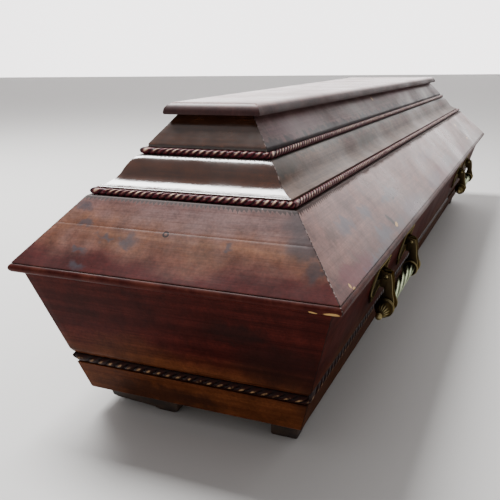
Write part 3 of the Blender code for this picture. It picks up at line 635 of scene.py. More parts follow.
def ogee_profile():
    """Ogee: two quadratic curves that meet in one direction, a cove below and a round shoulder above."""
    outer, inner, base, top = reach("lid_ogee_foot_end")
    riser, run = 0.0112, 0.0505
    foot = base + riser
    rise = top - foot
    turn = (outer + 0.52 * run, foot + 0.43 * rise)
    start = (outer, foot)
    cove = bezier(start, (outer + 0.38 * run, foot + 0.16 * rise), turn, 15)
    shoulder = bezier(turn, (outer + 0.79 * run, foot + 0.95 * rise), (outer + run, top), 15)[1:]
    body = outer + 0.030
    lower_lip = corner_part((outer, base), start, cove[3], 0.0010)
    return chain(corner_part((body, base), (outer, base), start, 0.0008), lower_lip, curve(cove[3:]), curve(shoulder),
                 corner_part((outer + run, top), (inner, top), (body, base), 0.0010),
                 corner_part((inner, top), (body, base), (outer, base), 0.0010))


def frieze_profile():
    """Upper leaning board with a short upright riser at its foot."""
    sizes = bpy.context.scene.coffin_sizes
    outer, inner, base, top = reach("lid_frieze_foot_end")
    riser, board_width = 0.0152, 0.022
    corners = [(outer, base), (outer, base + riser), (inner - board_width, top), (inner, top),
               (outer + board_width, base)]
    return eased_loop(corners, [0.0008, sizes.edge_ease, 0.0012, 0.0012, 0.0012])


# Operators: one for each group of like pieces


class COFFIN_OT_box_walls(bpy.types.Operator):
    """Make the four leaning walls of the box"""

    bl_idname = "coffin.box_walls"
    bl_label = "Box walls"

    def execute(self, context):
        colours = context.scene.coffin_colours
        sooty = [((0.165, -0.98, 0.150), (0.100, 0.10, 0.055), (0, 0, 0)),
                 ((0.225, -0.97, 0.100), (0.060, 0.12, 0.120), (0, 0, 0)),
                 ((0.100, -0.98, 0.200), (0.070, 0.10, 0.025), (0, 0, 0)),
                 ((-0.040, -0.97, 0.056), (0.160, 0.10, 0.026), (0, 0, 0))]
        soot = linear("#1c100e")
        ends = stained_wood("varnished_box_ends", (1.0, 1.0, 1.0), (0.55, 0.48, 0.45), colours.box_warm,
                            colours.box_stain, fade=(0.105, 0.165), wander=0.06, clouds=(("#1c100e", 0.7, sooty),),
                            crumbs=soot, roughness=0.34, sheen=0.045, edge=0.2)
        flanks = stained_wood("varnished_box_sides", (1.0, 1.0, 1.0), (0.58, 0.50, 0.48), linear("#472817"),
                              linear("#451d18"), fade=(0.10, 0.17), wander=0.07, crumbs=soot, roughness=0.5,
                              sheen=0.012, edge=0.2)
        profile, worn = wall_profile()
        for side, label in enumerate(SIDES):
            wood = ends if label in ("foot_end", "head_end") else flanks
            board(f"box_wall_{label}_varnished", f"box_wall_{label}", side, profile, worn, wood, 30)
        return {"FINISHED"}


class COFFIN_OT_lid_boards(bpy.types.Operator):
    """Make the rim, slopes, ogee and frieze boards of the lid"""

    bl_idname = "coffin.lid_boards"
    bl_label = "Lid boards"

    def execute(self, context):
        colours = context.scene.coffin_colours
        chips = [((0.219, -1.025, 0.2600), (0.009, 0.006, 0.0024), (0, 0, 0)),
                 ((0.242, -1.025, 0.2612), (0.016, 0.006, 0.0036), (0, 0, 0))]
        rim_wood = stained_wood("varnished_rim", (1.0, 1.0, 1.0), (0.66, 0.58, 0.55), colours.box_stain,
                                linear("#401c18"), fade=(0.266, 0.272), wander=0.002, bare=chips, roughness=0.36,
                                sheen=0.06, edge=0.15)
        front_spots = [((-0.165, -0.948, 0.349), (0.020, 0.014, 0.010), (0, 0, 0)),
                       ((-0.152, -0.968, 0.328), (0.024, 0.014, 0.011), (0, 0, 0)),
                       ((-0.105, -0.978, 0.316), (0.020, 0.014, 0.008), (0, 0, 0)),
                       ((-0.071, -0.982, 0.313), (0.026, 0.016, 0.012), (0, 0, 0)),
                       ((-0.145, -0.996, 0.298), (0.022, 0.014, 0.009), (0, 0, 0)),
                       ((-0.139, -1.012, 0.280), (0.024, 0.014, 0.010), (0, 0, 0)),
                       ((0.085, -0.982, 0.318), (0.020, 0.012, 0.008), (0, 0, 0))]
        front_clouds = [((0.178, -0.942, 0.352), (0.034, 0.040, 0.034), (0, 0, 0)),
                        ((0.194, -0.968, 0.326), (0.036, 0.040, 0.030), (0, 0, 0)),
                        ((0.212, -0.992, 0.303), (0.018, 0.030, 0.020), (0, 0, 0))]
        # Blue-grey clouds: along the slope's foot a painted sheen, higher up a blue-grey patch of the varnish
        side_sheen_and_clouds = [((0.268, -0.830, 0.272), (0.020, 0.130, 0.013), (0, 0, 0)),
                       ((0.268, -0.640, 0.284), (0.020, 0.070, 0.016), (0, 0, 0)),
                       ((0.232, -0.560, 0.318), (0.026, 0.060, 0.018), (0, 0, 0)),
                       ((0.285, 0.050, 0.290), (0.030, 0.160, 0.018), (0, 0, 0))]
        front_knots = [((-0.012, -0.970, 0.325), (0.0058, 0.0058, 0.0058), (0, 0, 0))]
        side_scars = [((0.254, -0.656, 0.291), (0.017, 0.0085, 0.0050), (0, 0.785, 0.2)),
                      ((0.246, -0.662, 0.298), (0.009, 0.0065, 0.0045), (0, 0.785, 0.2)),
                      ((0.240, -0.560, 0.310), (0.004, 0.0120, 0.0030), (0, 0.785, 0))]
        side_spots = [((0.221, -0.731, 0.321), (0.022, 0.034, 0.014), (0, 0, 0)),
                      ((0.212, -0.835, 0.324), (0.022, 0.044, 0.014), (0, 0, 0)),
                      ((0.255, -0.731, 0.286), (0.026, 0.070, 0.020), (0, 0, 0)),
                      ((0.235, -0.610, 0.320), (0.020, 0.030, 0.012), (0, 0, 0)),
                      ((0.262, -0.860, 0.272), (0.016, 0.070, 0.014), (0, 0, 0))]
        side_chips = [((0.250, -0.963, 0.278), (0.0050, 0.0130, 0.0022), (0, 0.785, 0.5)),
                      ((0.254, -0.957, 0.274), (0.0030, 0.0080, 0.0018), (0, 0.785, -0.3)),
                      ((0.261, -0.650, 0.284), (0.0060, 0.0130, 0.0030), (0, 0.785, 0.2)),
                      ((0.316, 0.594, 0.296), (0.0050, 0.0240, 0.0040), (0, 0.785, 0.1)),
                      ((0.272, 0.586, 0.340), (0.0100, 0.0160, 0.0030), (0, 0.785, 0.1))]
        maroon_patches = [((0.250, -0.881, 0.280), (0.030, 0.060, 0.020), (0, 0, 0)),
                          ((0.247, -0.940, 0.283), (0.030, 0.055, 0.018), (0, 0, 0)),
                          ((0.285, -0.066, 0.292), (0.030, 0.130, 0.018), (0, 0, 0)),
                          ((0.302, -0.010, 0.273), (0.030, 0.260, 0.016), (0, 0, 0)),
                          ((0.309, 0.312, 0.287), (0.030, 0.160, 0.022), (0, 0, 0))]
        violet_patches = [((0.269, -0.491, 0.284), (0.030, 0.120, 0.022), (0, 0, 0)),
                          ((0.281, -0.208, 0.287), (0.030, 0.120, 0.022), (0, 0, 0)),
                          ((0.240, -0.080, 0.325), (0.030, 0.200, 0.016), (0, 0, 0))]
        brown_patches = [((0.295, 0.660, 0.319), (0.050, 0.140, 0.040), (0, 0, 0)),
                         ((0.207, -0.905, 0.325), (0.020, 0.030, 0.014), (0, 0, 0))]
        # Painted shade by the upper rope darkens the frieze's foot and the ogee's top; two dark patches mark the ogee
        frieze_foot_shade = [((0, 0, 0.432), (1.0, 2.5, 0.015), (0, 0, 0))]
        ogee_head_shade_and_patches = [((0, 0, 0.421), (1.0, 2.5, 0.010), (0, 0, 0)),
                     ((0.123, -0.846, 0.409), (0.030, 0.090, 0.018), (0, 0, 0)),
                     ((0.160, -0.400, 0.400), (0.030, 0.120, 0.014), (0, 0, 0))]
        frieze_mauve = [((0.094, -0.700, 0.455), (0.050, 0.170, 0.020), (0, 0, 0)),
                        ((0.130, 0.208, 0.466), (0.050, 0.250, 0.016), (0, 0, 0))]
        moulding_scratches = [((0.111, -0.133, 0.467), (0.008, 0.0060, 0.0080), (0, 0, 0)),
                              ((0.150, -0.760, 0.400), (0.008, 0.0050, 0.0080), (0, 0, 0))]
        # Painted rope shadow hangs under the lower rope on every slope and under the upper rope on the end ogees
        slope_top, ogee_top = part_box("lid_slope_foot_end")[1].z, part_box("lid_ogee_foot_end")[1].z
        front_wood = stained_wood("varnished_end_slope", (1.0, 1.0, 1.0), (0.78, 0.70, 0.68), colours.stain,
                                  colours.faded, fade=(0.285, 0.322), wander=0.045, bloom_and_sheen=colours.bloom_and_sheen,
                                  bloom_and_sheen_at=(0.318, 0.350), blotches=front_spots, clouds=(("#2c2a2e", 0.7, front_clouds),),
                                  knots=front_knots, rope_shadow_at=slope_top, haze_and_sheen=0.55,
                                  roughness=0.28, sheen=0.3, edge=0.3)
        # A lighter, greyer copy of the slope wood: part of its grey lightness is a painted sheen
        side_wood = stained_wood("varnished_side_slope", (1.0, 1.0, 1.0), (0.74, 0.68, 0.68), linear("#4c2723"),
                                 linear("#7b574f"), fade=(0.266, 0.325), wander=0.09, blotches=side_spots,
                                 blotch=linear("#3c424f"),
                                 clouds=(("#434952", 0.6, side_sheen_and_clouds), ("#5a1f2b", 0.65, maroon_patches),
                                         ("#493b4c", 0.5, violet_patches), ("#33201a", 0.6, brown_patches)),
                                 bare=side_chips, scars=side_scars, rope_shadow_at=slope_top, haze_and_sheen=0.5, roughness=0.28,
                                 sheen=0.16, edge=0.3)
        end_moulding = stained_wood("varnished_end_mouldings", (1.0, 1.0, 1.0), (0.60, 0.54, 0.50),
                                    linear("#3f2010"), linear("#3f2414"), fade=(0.38, 0.47), wander=0.05,
                                    rope_shadow_at=ogee_top, hang=0.0040, roughness=0.17, sheen=0.75, edge=0.3)
        # A lighter, greyer copy of the mouldings' wood: partly greyed with age, partly a painted sheen
        side_moulding = stained_wood("varnished_side_mouldings", (1.0, 1.0, 1.0), (0.62, 0.58, 0.55),
                                     linear("#5a463b"), linear("#5e4342"), fade=(0.40, 0.46), wander=0.12,
                                     clouds=(("#15191f", 0.85, frieze_foot_shade), ("#2c2c27", 0.7, ogee_head_shade_and_patches),
                                             ("#5f3842", 0.5, frieze_mauve)),
                                     bare=moulding_scratches, haze_and_sheen=0.6, roughness=0.42, sheen=0.11, edge=0.4)
        rim, rim_worn = rim_profile()
        ogee, ogee_worn = ogee_profile()
        frieze, frieze_worn = frieze_profile()
        for side, label in enumerate(SIDES):
            across_ends = label in ("foot_end", "head_end")
            slope, slope_worn = slope_profile(0.60 if across_ends else None)
            slope_wood = front_wood if across_ends else side_wood
            board(f"lid_rim_{label}_varnished", f"lid_rim_{label}", side, rim, rim_worn, rim_wood, 40)
            board(f"lid_slope_{label}_varnished", f"lid_slope_{label}", side, slope, slope_worn, slope_wood, 24)
            moulding = end_moulding if across_ends else side_moulding
            board(f"lid_ogee_{label}_varnished", f"lid_ogee_{label}", side, ogee, ogee_worn, moulding, 16)
            board(f"lid_frieze_{label}_varnished", f"lid_frieze_{label}", side, frieze, frieze_worn, moulding, 16)
        return {"FINISHED"}


class COFFIN_OT_top_board(bpy.types.Operator):
    """Make the flat top board with its quarter-round nose"""

    bl_idname = "coffin.top_board"
    bl_label = "Top board"

    def execute(self, context):
        colours = context.scene.coffin_colours
        low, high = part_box("top_board")
        inset = low.y + LENGTH / 2
        rise = high.z - low.z
        angle = np.radians(np.linspace(0, 90, 12))
        nose_run = 0.017
        insets = np.concatenate([[inset + 0.030, inset + 0.0012], inset + nose_run * (1 - np.cos(angle)),
                                 [inset + nose_run + 0.004, inset + nose_run + 0.030]])
        heights = np.concatenate([[low.z, low.z], low.z + rise * (0.12 + 0.88 * np.sin(angle)), [high.z, high.z]])
        worn = np.concatenate([[0, 0.2], 0.3 + 0.6 * np.exp(-((np.degrees(angle) - 62) / 22) ** 2), [0.1, 0]])
        loops = []
        wears = []
        for side in range(4):
            length = side_length(side, inset)
            shares = stations(length, 40, ease=0.004)[:-1]
            start = plan_corners(side, insets, heights)
            end = plan_corners((side + 1) % 4, insets, heights)
            loops.append(start[:, None] + (end - start)[:, None] * shares[None, :, None])
            wears.append(np.repeat(worn[:, None], len(shares), axis=1))
        grid = np.concatenate(loops, axis=1).transpose(1, 0, 2)
        worn_grid = np.concatenate(wears, axis=1).T
        one = shell(grid, worn_grid)
        flat = grid.reshape(-1, 3)[:, [1, 0]]
        one["uv"] = flat[np.concatenate([np.asarray(face) for face in one["faces"]])]
        chips = [((0.126, -0.873, 0.491), (0.007, 0.011, 0.006), (0, 0, 0)),
                 ((0.127, -0.846, 0.490), (0.014, 0.0016, 0.012), (0.2, 0, 0.15))]
        # Darker nose and a lighter flat top: the flat's lighter colour is a painted sheen
        wood = stained_wood("varnished_top_board", (1.0, 1.0, 1.0), (0.72, 0.64, 0.62), linear("#381a1b"),
                            linear("#6e4540"), fade=(0.4900, 0.4982), wander=0.003, bare=chips, haze_and_sheen=0.5,
                            roughness=0.22, dry=0.34, sheen=0.28, edge=0.2)
        make_piece("top_board_varnished", [one], wood, "coffin", ["top_board"])
        return {"FINISHED"}


def strand_grid(side, rows_at, span, pitch, lean, steps=6):
    """Rope moulding as a sheared grid, so that crests and grooves follow the strands.

    rows_at(phase) gives the (inset, height) rows of the profile for a groove depth from 0 on the crest to
    1 in the groove. A column lies at (strand + phase) pitches along the side, and each row is shifted on
    by lean times its place across the face, which fades out within one pitch of either mitre.
    """
    count = max(1, round(span[1] / pitch))
    phases = np.tile(np.arange(steps) / steps, count)
    whole = np.repeat(np.arange(count), steps)
    phases = np.append(phases, 0.0)
    whole = np.append(whole, count)
    groove = (1 - np.sin(np.pi * phases)) ** 1.6
    places = (whole + phases) / count * span[1]
    profiles, across, crests = rows_at(groove)
    start = plan_corners(side, profiles[..., 0], profiles[..., 1])
    end = plan_corners((side + 1) % 4, profiles[..., 0], profiles[..., 1])
    length = span[0]
    fade = np.clip(np.minimum(places, span[1] - places) / pitch, 0, 1)
    shifted = places[None, :] + lean * across[:, None] * fade[None, :]
    share = np.clip(shifted / length, GAP / 2 / length, 1 - GAP / 2 / length)
    return start + (end - start) * share[..., None], crests


class COFFIN_OT_ropes(bpy.types.Operator):
    """Make the twelve rope mouldings"""

    bl_idname = "coffin.ropes"
    bl_label = "Rope mouldings"

    def execute(self, context):
        sizes = context.scene.coffin_sizes
        colours = context.scene.coffin_colours
        box_wood = rope_wood("stained_box_rope", colours.rope_stain, colours.rope_glint, 0.93, 0.05)
        lid_wood = rope_wood("stained_lid_rope", colours.lid_rope_stain, colours.lid_rope_glint, 0.93, 0.08)
        outer, inner, base, top = reach("box_wall_foot_end")
        lean = (inner - outer - sizes.wall_thickness) / (top - base)
        low, high = base + sizes.groove_base + GAP, base + sizes.groove_base + sizes.groove_height - GAP

        def box_rows(groove):
            share = np.linspace(0, 1, 9)
            bulge = np.sin(np.pi * share) ** 0.75
            proud = sizes.groove_lip + 0.0022
            out = (proud * bulge)[:, None] * (1 - 0.62 * groove[None, :])
            height = low + (high - low) * share
            inset = (outer + lean * (top - height) + sizes.groove_lip)[:, None] - out
            face = np.stack([inset, np.broadcast_to(height[:, None], inset.shape)], axis=-1)
            back = np.array([[outer + lean * (top - high) + 0.0085, high], [outer + lean * (top - low) + 0.0085, low]])
            back = np.broadcast_to(back[:, None, :], (2, len(groove), 2))
            across = np.concatenate([share, [1.0, 0.0]])
            crests = np.vstack([bulge[:, None] ** 0.35 * (1 - groove[None, :]), np.zeros((2, len(groove)))])
            return np.concatenate([face, back]), across, crests

        for side, label in enumerate(SIDES):
            length = side_length(side, outer + lean * (top - (low + high) / 2))
            kept = length - (sizes.missing_rope if label == "right" else 0.0)
            grid, crests = strand_grid(side, box_rows, (length, kept), sizes.box_rope_pitch, 0.021)
            make_piece(f"box_rope_{label}_carved", [shell(grid, crests)], box_wood, "coffin", [f"box_rope_{label}"],
                       crease=75)

        for prefix, above, below in (("lower_rope", "lid_ogee_foot_end", "lid_slope_foot_end"),
                                     ("upper_rope", "lid_frieze_foot_end", "lid_ogee_foot_end")):
            radius = sizes.lid_rope_radius
            inset = reach(above)[0] - GAP - radius
            height = reach(below)[3] + GAP + radius

            def lid_rows(groove):
                angle = np.radians(np.linspace(-75, 150, 10))
                share = np.linspace(0, 1, 10)
                reach_of = radius * 1.04 * (1 - 0.26 * groove[None, :]) * np.ones((10, 1))
                rows = np.stack([inset - reach_of * np.cos(angle)[:, None],
                                 height + reach_of * np.sin(angle)[:, None]], axis=-1)
                back = np.broadcast_to(np.array([inset + radius, height - radius]), (1, len(groove), 2))
                crests = np.vstack([(1 - groove[None, :]) * np.sin(np.pi * (0.06 + 0.88 * share))[:, None] ** 0.3,
                                    np.zeros((1, len(groove)))])
                return np.concatenate([rows, back]), np.append(share, 0.5), crests

            for side, label in enumerate(SIDES):
                length = side_length(side, inset)
                grid, crests = strand_grid(side, lid_rows, (length, length), sizes.lid_rope_pitch, 0.020)
                make_piece(f"{prefix}_{label}_carved", [shell(grid, crests)], lid_wood, "coffin", [f"{prefix}_{label}"],
                           crease=75)
        return {"FINISHED"}


class COFFIN_OT_feet(bpy.types.Operator):
    """Make the three block feet and the long shaped one"""

    bl_idname = "coffin.feet"
    bl_label = "Feet"

    def execute(self, context):
        wood = rough_wood("dirty_foot_wood", "#3a281b", "#1c130e", (40, 9, 90))
        for node in ("foot_left_front", "foot_right_front", "foot_right_rear", "foot_left_rear"):
            low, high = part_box(node)
            if node == "foot_left_front":
                lobe = high.x - 0.030
                ease, step = 0.004, 0.004
                outline = [(low.x + ease / 2, high.z), (low.x, low.z + 0.6 * (high.z - low.z)),
                           (low.x + ease, low.z + 2.5 * step), (low.x + 4 * ease, low.z + 2 * step),
                           ((low.x + lobe) / 2, low.z + 1.4 * step), (lobe - 3.5 * ease, low.z + step),
                           (lobe - ease, low.z + 0.2 * step), (lobe + ease, low.z), (high.x - 1.5 * ease, low.z),
                           (high.x, low.z + ease), (high.x, high.z)]
                radii = [0.001, 0.002, 0.003, 0.004, 0.006, 0.005, 0.003, 0.003, 0.003, 0.002, 0.001]
            else:
                outline = [(low.x, high.z), (low.x, low.z), (high.x, low.z), (high.x, high.z)]
                radii = [0.001, 0.004, 0.004, 0.001]
            rows, worn = eased_loop(outline, radii)
            depth = high.y - low.y
            places = np.array([0, 0.0006, 0.0022, 0.02, depth - 0.02, depth - 0.0022, depth - 0.0006, depth])
            shrink = np.array([0.0022, 0.0008, 0, 0, 0, 0, 0.0008, 0.0022])
            middle = (rows.max(axis=0) + rows.min(axis=0)) / 2
            inward = np.sign(middle - rows) * np.array([1.0, 1.0])
            flat = rows[:, None] + inward[:, None] * shrink[None, :, None]
            flat[..., 1] = np.where(rows[:, None, 1] > high.z - 0.002, rows[:, None, 1], flat[..., 1])
            grid = np.stack([flat[..., 0], np.broadcast_to(low.y + places, flat.shape[:2]), flat[..., 1]], axis=-1)
            make_piece(f"{node}_worn", [shell(grid, worn[:, None])], wood, "coffin", [node])
        return {"FINISHED"}


# Handles, in their own axes: out of the wall, along it and up, from the middle of the hinge line


def smooth_loop(points, steps):
    """Closed cubic curve through points: each span blends its neighbours' chords as end directions."""
    points = np.asarray(points, float)
    share = np.linspace(0, 1, steps, endpoint=False)[None, :, None]
    start, end = points[:, None], np.roll(points, -1, axis=0)[:, None]
    leave = (end - np.roll(points, 1, axis=0)[:, None]) / 2
    arrive = (np.roll(points, -2, axis=0)[:, None] - start) / 2
    path = ((2 * share ** 3 - 3 * share ** 2 + 1) * start + (share ** 3 - 2 * share ** 2 + share) * leave
            + (3 * share ** 2 - 2 * share ** 3) * end + (share ** 3 - share ** 2) * arrive)
    return path.reshape(-1, 2)


def arm_shells(drop, sizes):
    """Cast arm with its pin at the origin and its finial towards -Y, and how rubbed it is.

    The hood and neck are one closed outline in the XZ plane, carried across the arm's width. The cup,
    dome and ball are one turned profile whose radius is cut by flutes on the dome.
    """
    control = [(8.3, 1.6), (7.8, 3.2), (6.4, 4.0), (-1.0, 5.0), (-7.6, 5.8), (-9.0, 5.2), (-9.5, 3.6),
               (-10.5, -6.0), (-11.9, -19.3), (-11.5, -21.2), (-9.8, -21.9), (-5.6, -22.5), (-4.5, -24.2),
               (-4.4, -28.7), (-5.2, -33.5), (-7.4, -39.5), (-10.0, -48.0), (-9.0, -56.0), (9.0, -56.0),
               (14.6, -49.0), (14.2, -41.0), (12.0, -33.0), (11.4, -26.7), (11.1, -16.3), (9.8, -6.0)]
    outline = smooth_loop(np.array(control) / 1000, 4)
    half = 0.0100
    places = np.array([-1, -0.97, -0.88, -0.76, -0.66, -0.58, -0.56, 0, 0.56, 0.58, 0.66, 0.76, 0.88, 0.97, 1]) * half
    shrink = np.array([1.6, 0.7, 0.15, 0, 0, 0, 0, 0, 0, 0, 0, 0, 0.15, 0.7, 1.6]) / 1000
    slot = np.array([0, 0, 0, 0, 0, 0, 1, 1, 1, 0, 0, 0, 0, 0, 0]) * 0.0055
    ahead = np.roll(outline, -1, axis=0) - np.roll(outline, 1, axis=0)
    normal = np.stack([ahead[:, 1], -ahead[:, 0]], axis=-1)
    normal /= np.linalg.norm(normal, axis=1, keepdims=True)
    area = np.sum(outline[:, 0] * np.roll(outline[:, 1], -1) - outline[:, 1] * np.roll(outline[:, 0], -1))
    inward = -normal * np.sign(area)
    on_top = np.clip((outline[:, 1] - 0.0030) / 0.0008, 0, 1) * np.clip((0.0072 - np.abs(outline[:, 0] + 0.0010)) / 0.0010, 0, 1)
    depth = shrink[None, :] + on_top[:, None] * slot[None, :]
    flat = outline[:, None] + inward[:, None] * depth[..., None]
    waist = 1 - 0.16 * np.exp(-((outline[:, 1] + 0.032) / 0.009) ** 2)
    grid = np.stack([flat[..., 0], places[None, :] * waist[:, None], flat[..., 1]], axis=-1)
    rim = np.array([0.5, 1.0, 0.7, 0.4, 0.6, 1.0, 0, 0, 0, 1.0, 0.6, 0.4, 0.7, 1.0, 0.5])
    plain = np.array([0.3, 0.8, 0.4, 0.15, 0.1, 0.1, 0.1, 0.1, 0.1, 0.1, 0.1, 0.15, 0.4, 0.8, 0.3])
    worn = plain[None, :] + (rim - plain)[None, :] * on_top[:, None]
    shells = [shell(grid, worn)]

    radius = sizes.boss_radius
    shoulder = 0.017
    # Places along the axis and radii: mouth of the cup, its two rings, the dome, the neck and the ball
    cup = [(shoulder - 0.005, 0.0096), (shoulder - 0.005, 0.0125), (shoulder - 0.0022, 0.0134), (shoulder, 0.0142),
           (shoulder + 0.0002, 0.0152), (shoulder - 0.0012, 0.0164), (shoulder - 0.0030, 0.0164),
           (shoulder - 0.0042, 0.0152), (shoulder - 0.0070, 0.0150), (0.004, 0.0152), (-0.006, radius - 0.0006),
           (-0.0105, radius - 0.0010), (-0.0118, radius + 0.0006), (-0.0135, radius + 0.0012),
           (-0.0152, radius + 0.0004), (-0.0160, radius - 0.0008), (-0.0170, radius + 0.0002),
           (-0.0186, radius + 0.0010), (-0.0202, radius + 0.0004)]
    share = np.linspace(0.04, 1, 16)
    dome = np.stack([-shoulder - 0.0032 - 0.0280 * share, (radius - 0.0014) * np.cos(np.radians(79 * share)) ** 0.75],
                    axis=-1)
    neck = [(-shoulder - 0.0318, 0.0030), (-shoulder - 0.0326, 0.0026)]
    ball_radius = 0.0060
    centre = -shoulder - 0.036 - 0.0045
    turn = np.radians(np.linspace(-66, 86, 13))
    ball = np.stack([centre - ball_radius * np.sin(turn), ball_radius * np.cos(turn)], axis=-1)
    profile = np.vstack([cup, dome, neck, ball])
    around = np.radians(np.arange(0, 360, 360 / (8 * sizes.dome_flutes)))
    ridge = np.abs(np.sin(sizes.dome_flutes * around / 2)) ** 0.8
    cut = np.zeros(len(profile))
    cut[len(cup):len(cup) + len(dome)] = 0.0014 * np.sin(np.pi * np.clip((share - 0.3) / 0.72, 0, 1)) ** 0.5
    spread = profile[:, 1][None, :] - cut[None, :] * (1 - ridge[:, None])
    turned = np.stack([spread * np.cos(around)[:, None], np.broadcast_to(profile[:, 0], spread.shape),
                       spread * np.sin(around)[:, None] - drop], axis=-1)
    base = np.concatenate([[0, 0, .2, .5, .9, 1, .7, .3, .1, .1, .1, .2, .8, 1, .5, .0, .6, 1, .4],
                           np.interp(share, [0, 0.3, 0.7, 0.9, 1], [0.05, 0.1, 1.1, 0.8, 0.0]), [0.0, 0.0],
                           np.interp(turn, [turn[0], -0.6, 0.3, turn[-1]], [0.0, 0.55, 0.9, 0.9])])
    rubbed = base[None, :] * np.where(cut[None, :] > 0, 0.1 + 0.9 * ridge[:, None] ** 2, 1.0)
    shells.append(shell(turned, rubbed))
    return shells


def bead_shells(centres, radius, lift, normal, sideways, upward):
    """Small domes: each is a grid of half a ball, six round by three up, pushed into the plate behind."""
    turn = np.radians(np.arange(0, 360, 60))
    climb = np.radians(np.array([-40, 5, 45, 80]))
    ring = (np.cos(climb)[None, :, None] * (np.cos(turn)[:, None, None] * sideways
                                            + np.sin(turn)[:, None, None] * upward)
            + np.sin(climb)[None, :, None] * normal * lift)
    return [shell(centre + radius * ring, np.array([[0.0, 0.35, 1.0, 1.0]])) for centre in centres]


def plate_shells(lean, sizes):
    """Stamped back plate on the leaning wall, with a beaded border, two lugs and the pin's round ends."""
    low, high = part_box("handle_right_foot_plate_1")
    half = (high.y - low.y) / 2 - 0.0006
    top = high.z - frame["joints"][0]["pos_m"][2]
    bottom = low.z - frame["joints"][0]["pos_m"][2]
    slant = math.cos(math.atan(lean))
    top, bottom = top / slant, bottom / slant
    tall = top - bottom
    control = [(-0.90, 1.0), (-0.99, 0.90), (-1.0, 0.72), (-0.98, 0.5), (-0.76, 0.3), (-0.42, 0.2), (-0.2, 0.05),
               (0, 0.0), (0.2, 0.05), (0.42, 0.2), (0.76, 0.3), (0.98, 0.5), (1.0, 0.72), (0.99, 0.90), (0.90, 1.0),
               (0.45, 1.0), (0, 1.0), (-0.45, 1.0)]
    outline = smooth_loop(np.array(control) * (half, tall) + (0, bottom), 6)
    centre = np.array([0, bottom + 0.6 * tall])
    standoff = 0.0140
    back, front = -standoff + GAP, -standoff + GAP + 0.0025
    depths = np.array([back, front - 0.0009, front - 0.0002, front, front - 0.0006])
    inset = np.array([0, 0, 0.0005, 0.0014, 0.0052])
    inward = (centre - outline) / np.linalg.norm(centre - outline, axis=1, keepdims=True)
    flat = outline[:, None] + inward[:, None] * inset[None, :, None]
    grid = np.stack([np.broadcast_to(depths, flat.shape[:2]), flat[..., 0], flat[..., 1]], axis=-1)
    shells = [shell(grid, np.array([[0.0, 0.1, 0.15, 0.05, 0.0]]))]

    # Beads every 3.2 mm along a line just inside the edge
    line = outline + inward * 0.0036
    closed = np.vstack([line, line[:1]])
    steps = np.concatenate([[0.0], np.cumsum(np.linalg.norm(np.diff(closed, axis=0), axis=1))])
    count = round(steps[-1] / 0.0032)
    at = np.arange(count) * steps[-1] / count
    spots_at = np.stack([np.full(count, front - 0.0004), np.interp(at, steps, closed[:, 0]),
                         np.interp(at, steps, closed[:, 1])], axis=-1)
    shells += bead_shells(spots_at, 0.0014, 1.3, np.array([1.0, 0, 0]), np.array([0, 1.0, 0]), np.array([0, 0, 1.0]))

    # Lugs: rounded tongues on both sides of the arm's hood
    lug_radius, lug_width, start = 0.0058, 0.0036, 0.0106
    angle = np.radians(np.linspace(-90, 90, 17))
    tongue = np.vstack([np.stack([lug_radius * np.cos(angle), lug_radius * np.sin(angle)], axis=-1),
                        [(-0.005, lug_radius), (front - 0.001, lug_radius + 0.002), (front - 0.001, -lug_radius - 0.006),
                         (-0.005, -lug_radius - 0.001)]])
    across = np.array([0, 0.0003, 0.0011, lug_width / 2, lug_width - 0.0011, lug_width - 0.0003, lug_width])
    shrink = np.array([0.0010, 0.0004, 0, 0, 0, 0.0004, 0.0010])
    middle = np.array([-0.002, 0])
    towards = (middle - tongue) / np.linalg.norm(middle - tongue, axis=1, keepdims=True)
    sides = tongue[:, None] + towards[:, None] * shrink[None, :, None]
    for sign in (-1, 1):
        place = sign * (start + across)
        grid = np.stack([sides[..., 0], np.broadcast_to(place, sides.shape[:2]), sides[..., 1]], axis=-1)
        shells.append(shell(grid, np.array([[0.1, 0.5, 0.2, 0.1, 0.2, 0.5, 0.1]])))
        turn = np.radians(np.arange(0, 360, 30))
        reach_of = np.array([0.0034, 0.0034, 0.0028, 0.0014])
        out_at = sign * (start + lug_width + np.array([-0.001, 0.0008, 0.0017, 0.0021]))
        shells.append(shell(np.stack([reach_of[None, :] * np.cos(turn)[:, None],
                                      np.broadcast_to(out_at, (len(turn), 4)),
                                      reach_of[None, :] * np.sin(turn)[:, None]], axis=-1),
                            np.array([[0.3, 0.8, 1.0, 0.8]])))
    tilt = math.atan(lean)
    turn_back = np.array([[math.cos(tilt), 0, math.sin(tilt)], [0, 1, 0], [-math.sin(tilt), 0, math.cos(tilt)]])
    for one in shells:
        one["points"] = one["points"] @ turn_back.T
    return shells


def bar_shell(half_length, sizes):
    """Twisted bar: the radius falls off in grooves between rounded flutes that turn along the bar."""
    count = 12 * sizes.bar_flutes
    around = np.radians(np.arange(0, 360, 360 / count))
    places = np.concatenate([[-half_length, -half_length + 0.004], np.linspace(-half_length + 0.005,
                             half_length - 0.005, 60), [half_length - 0.004, half_length]])
    turn = 2 * math.pi * sizes.bar_turns * places / (2 * half_length)
    ridge = (1 + np.cos(sizes.bar_flutes * around)) / 2
    plain = np.clip((half_length - 0.004 - np.abs(places)) / 0.001, 0, 1)
    radius = sizes.bar_radius - 0.0016 * (1 - ridge[:, None]) * plain[None, :]
    angle = around[:, None] + turn[None, :]
    grid = np.stack([radius * np.cos(angle), np.broadcast_to(places, radius.shape), radius * np.sin(angle)], axis=-1)
    return shell(grid, ridge[:, None] * np.ones((1, len(places))))


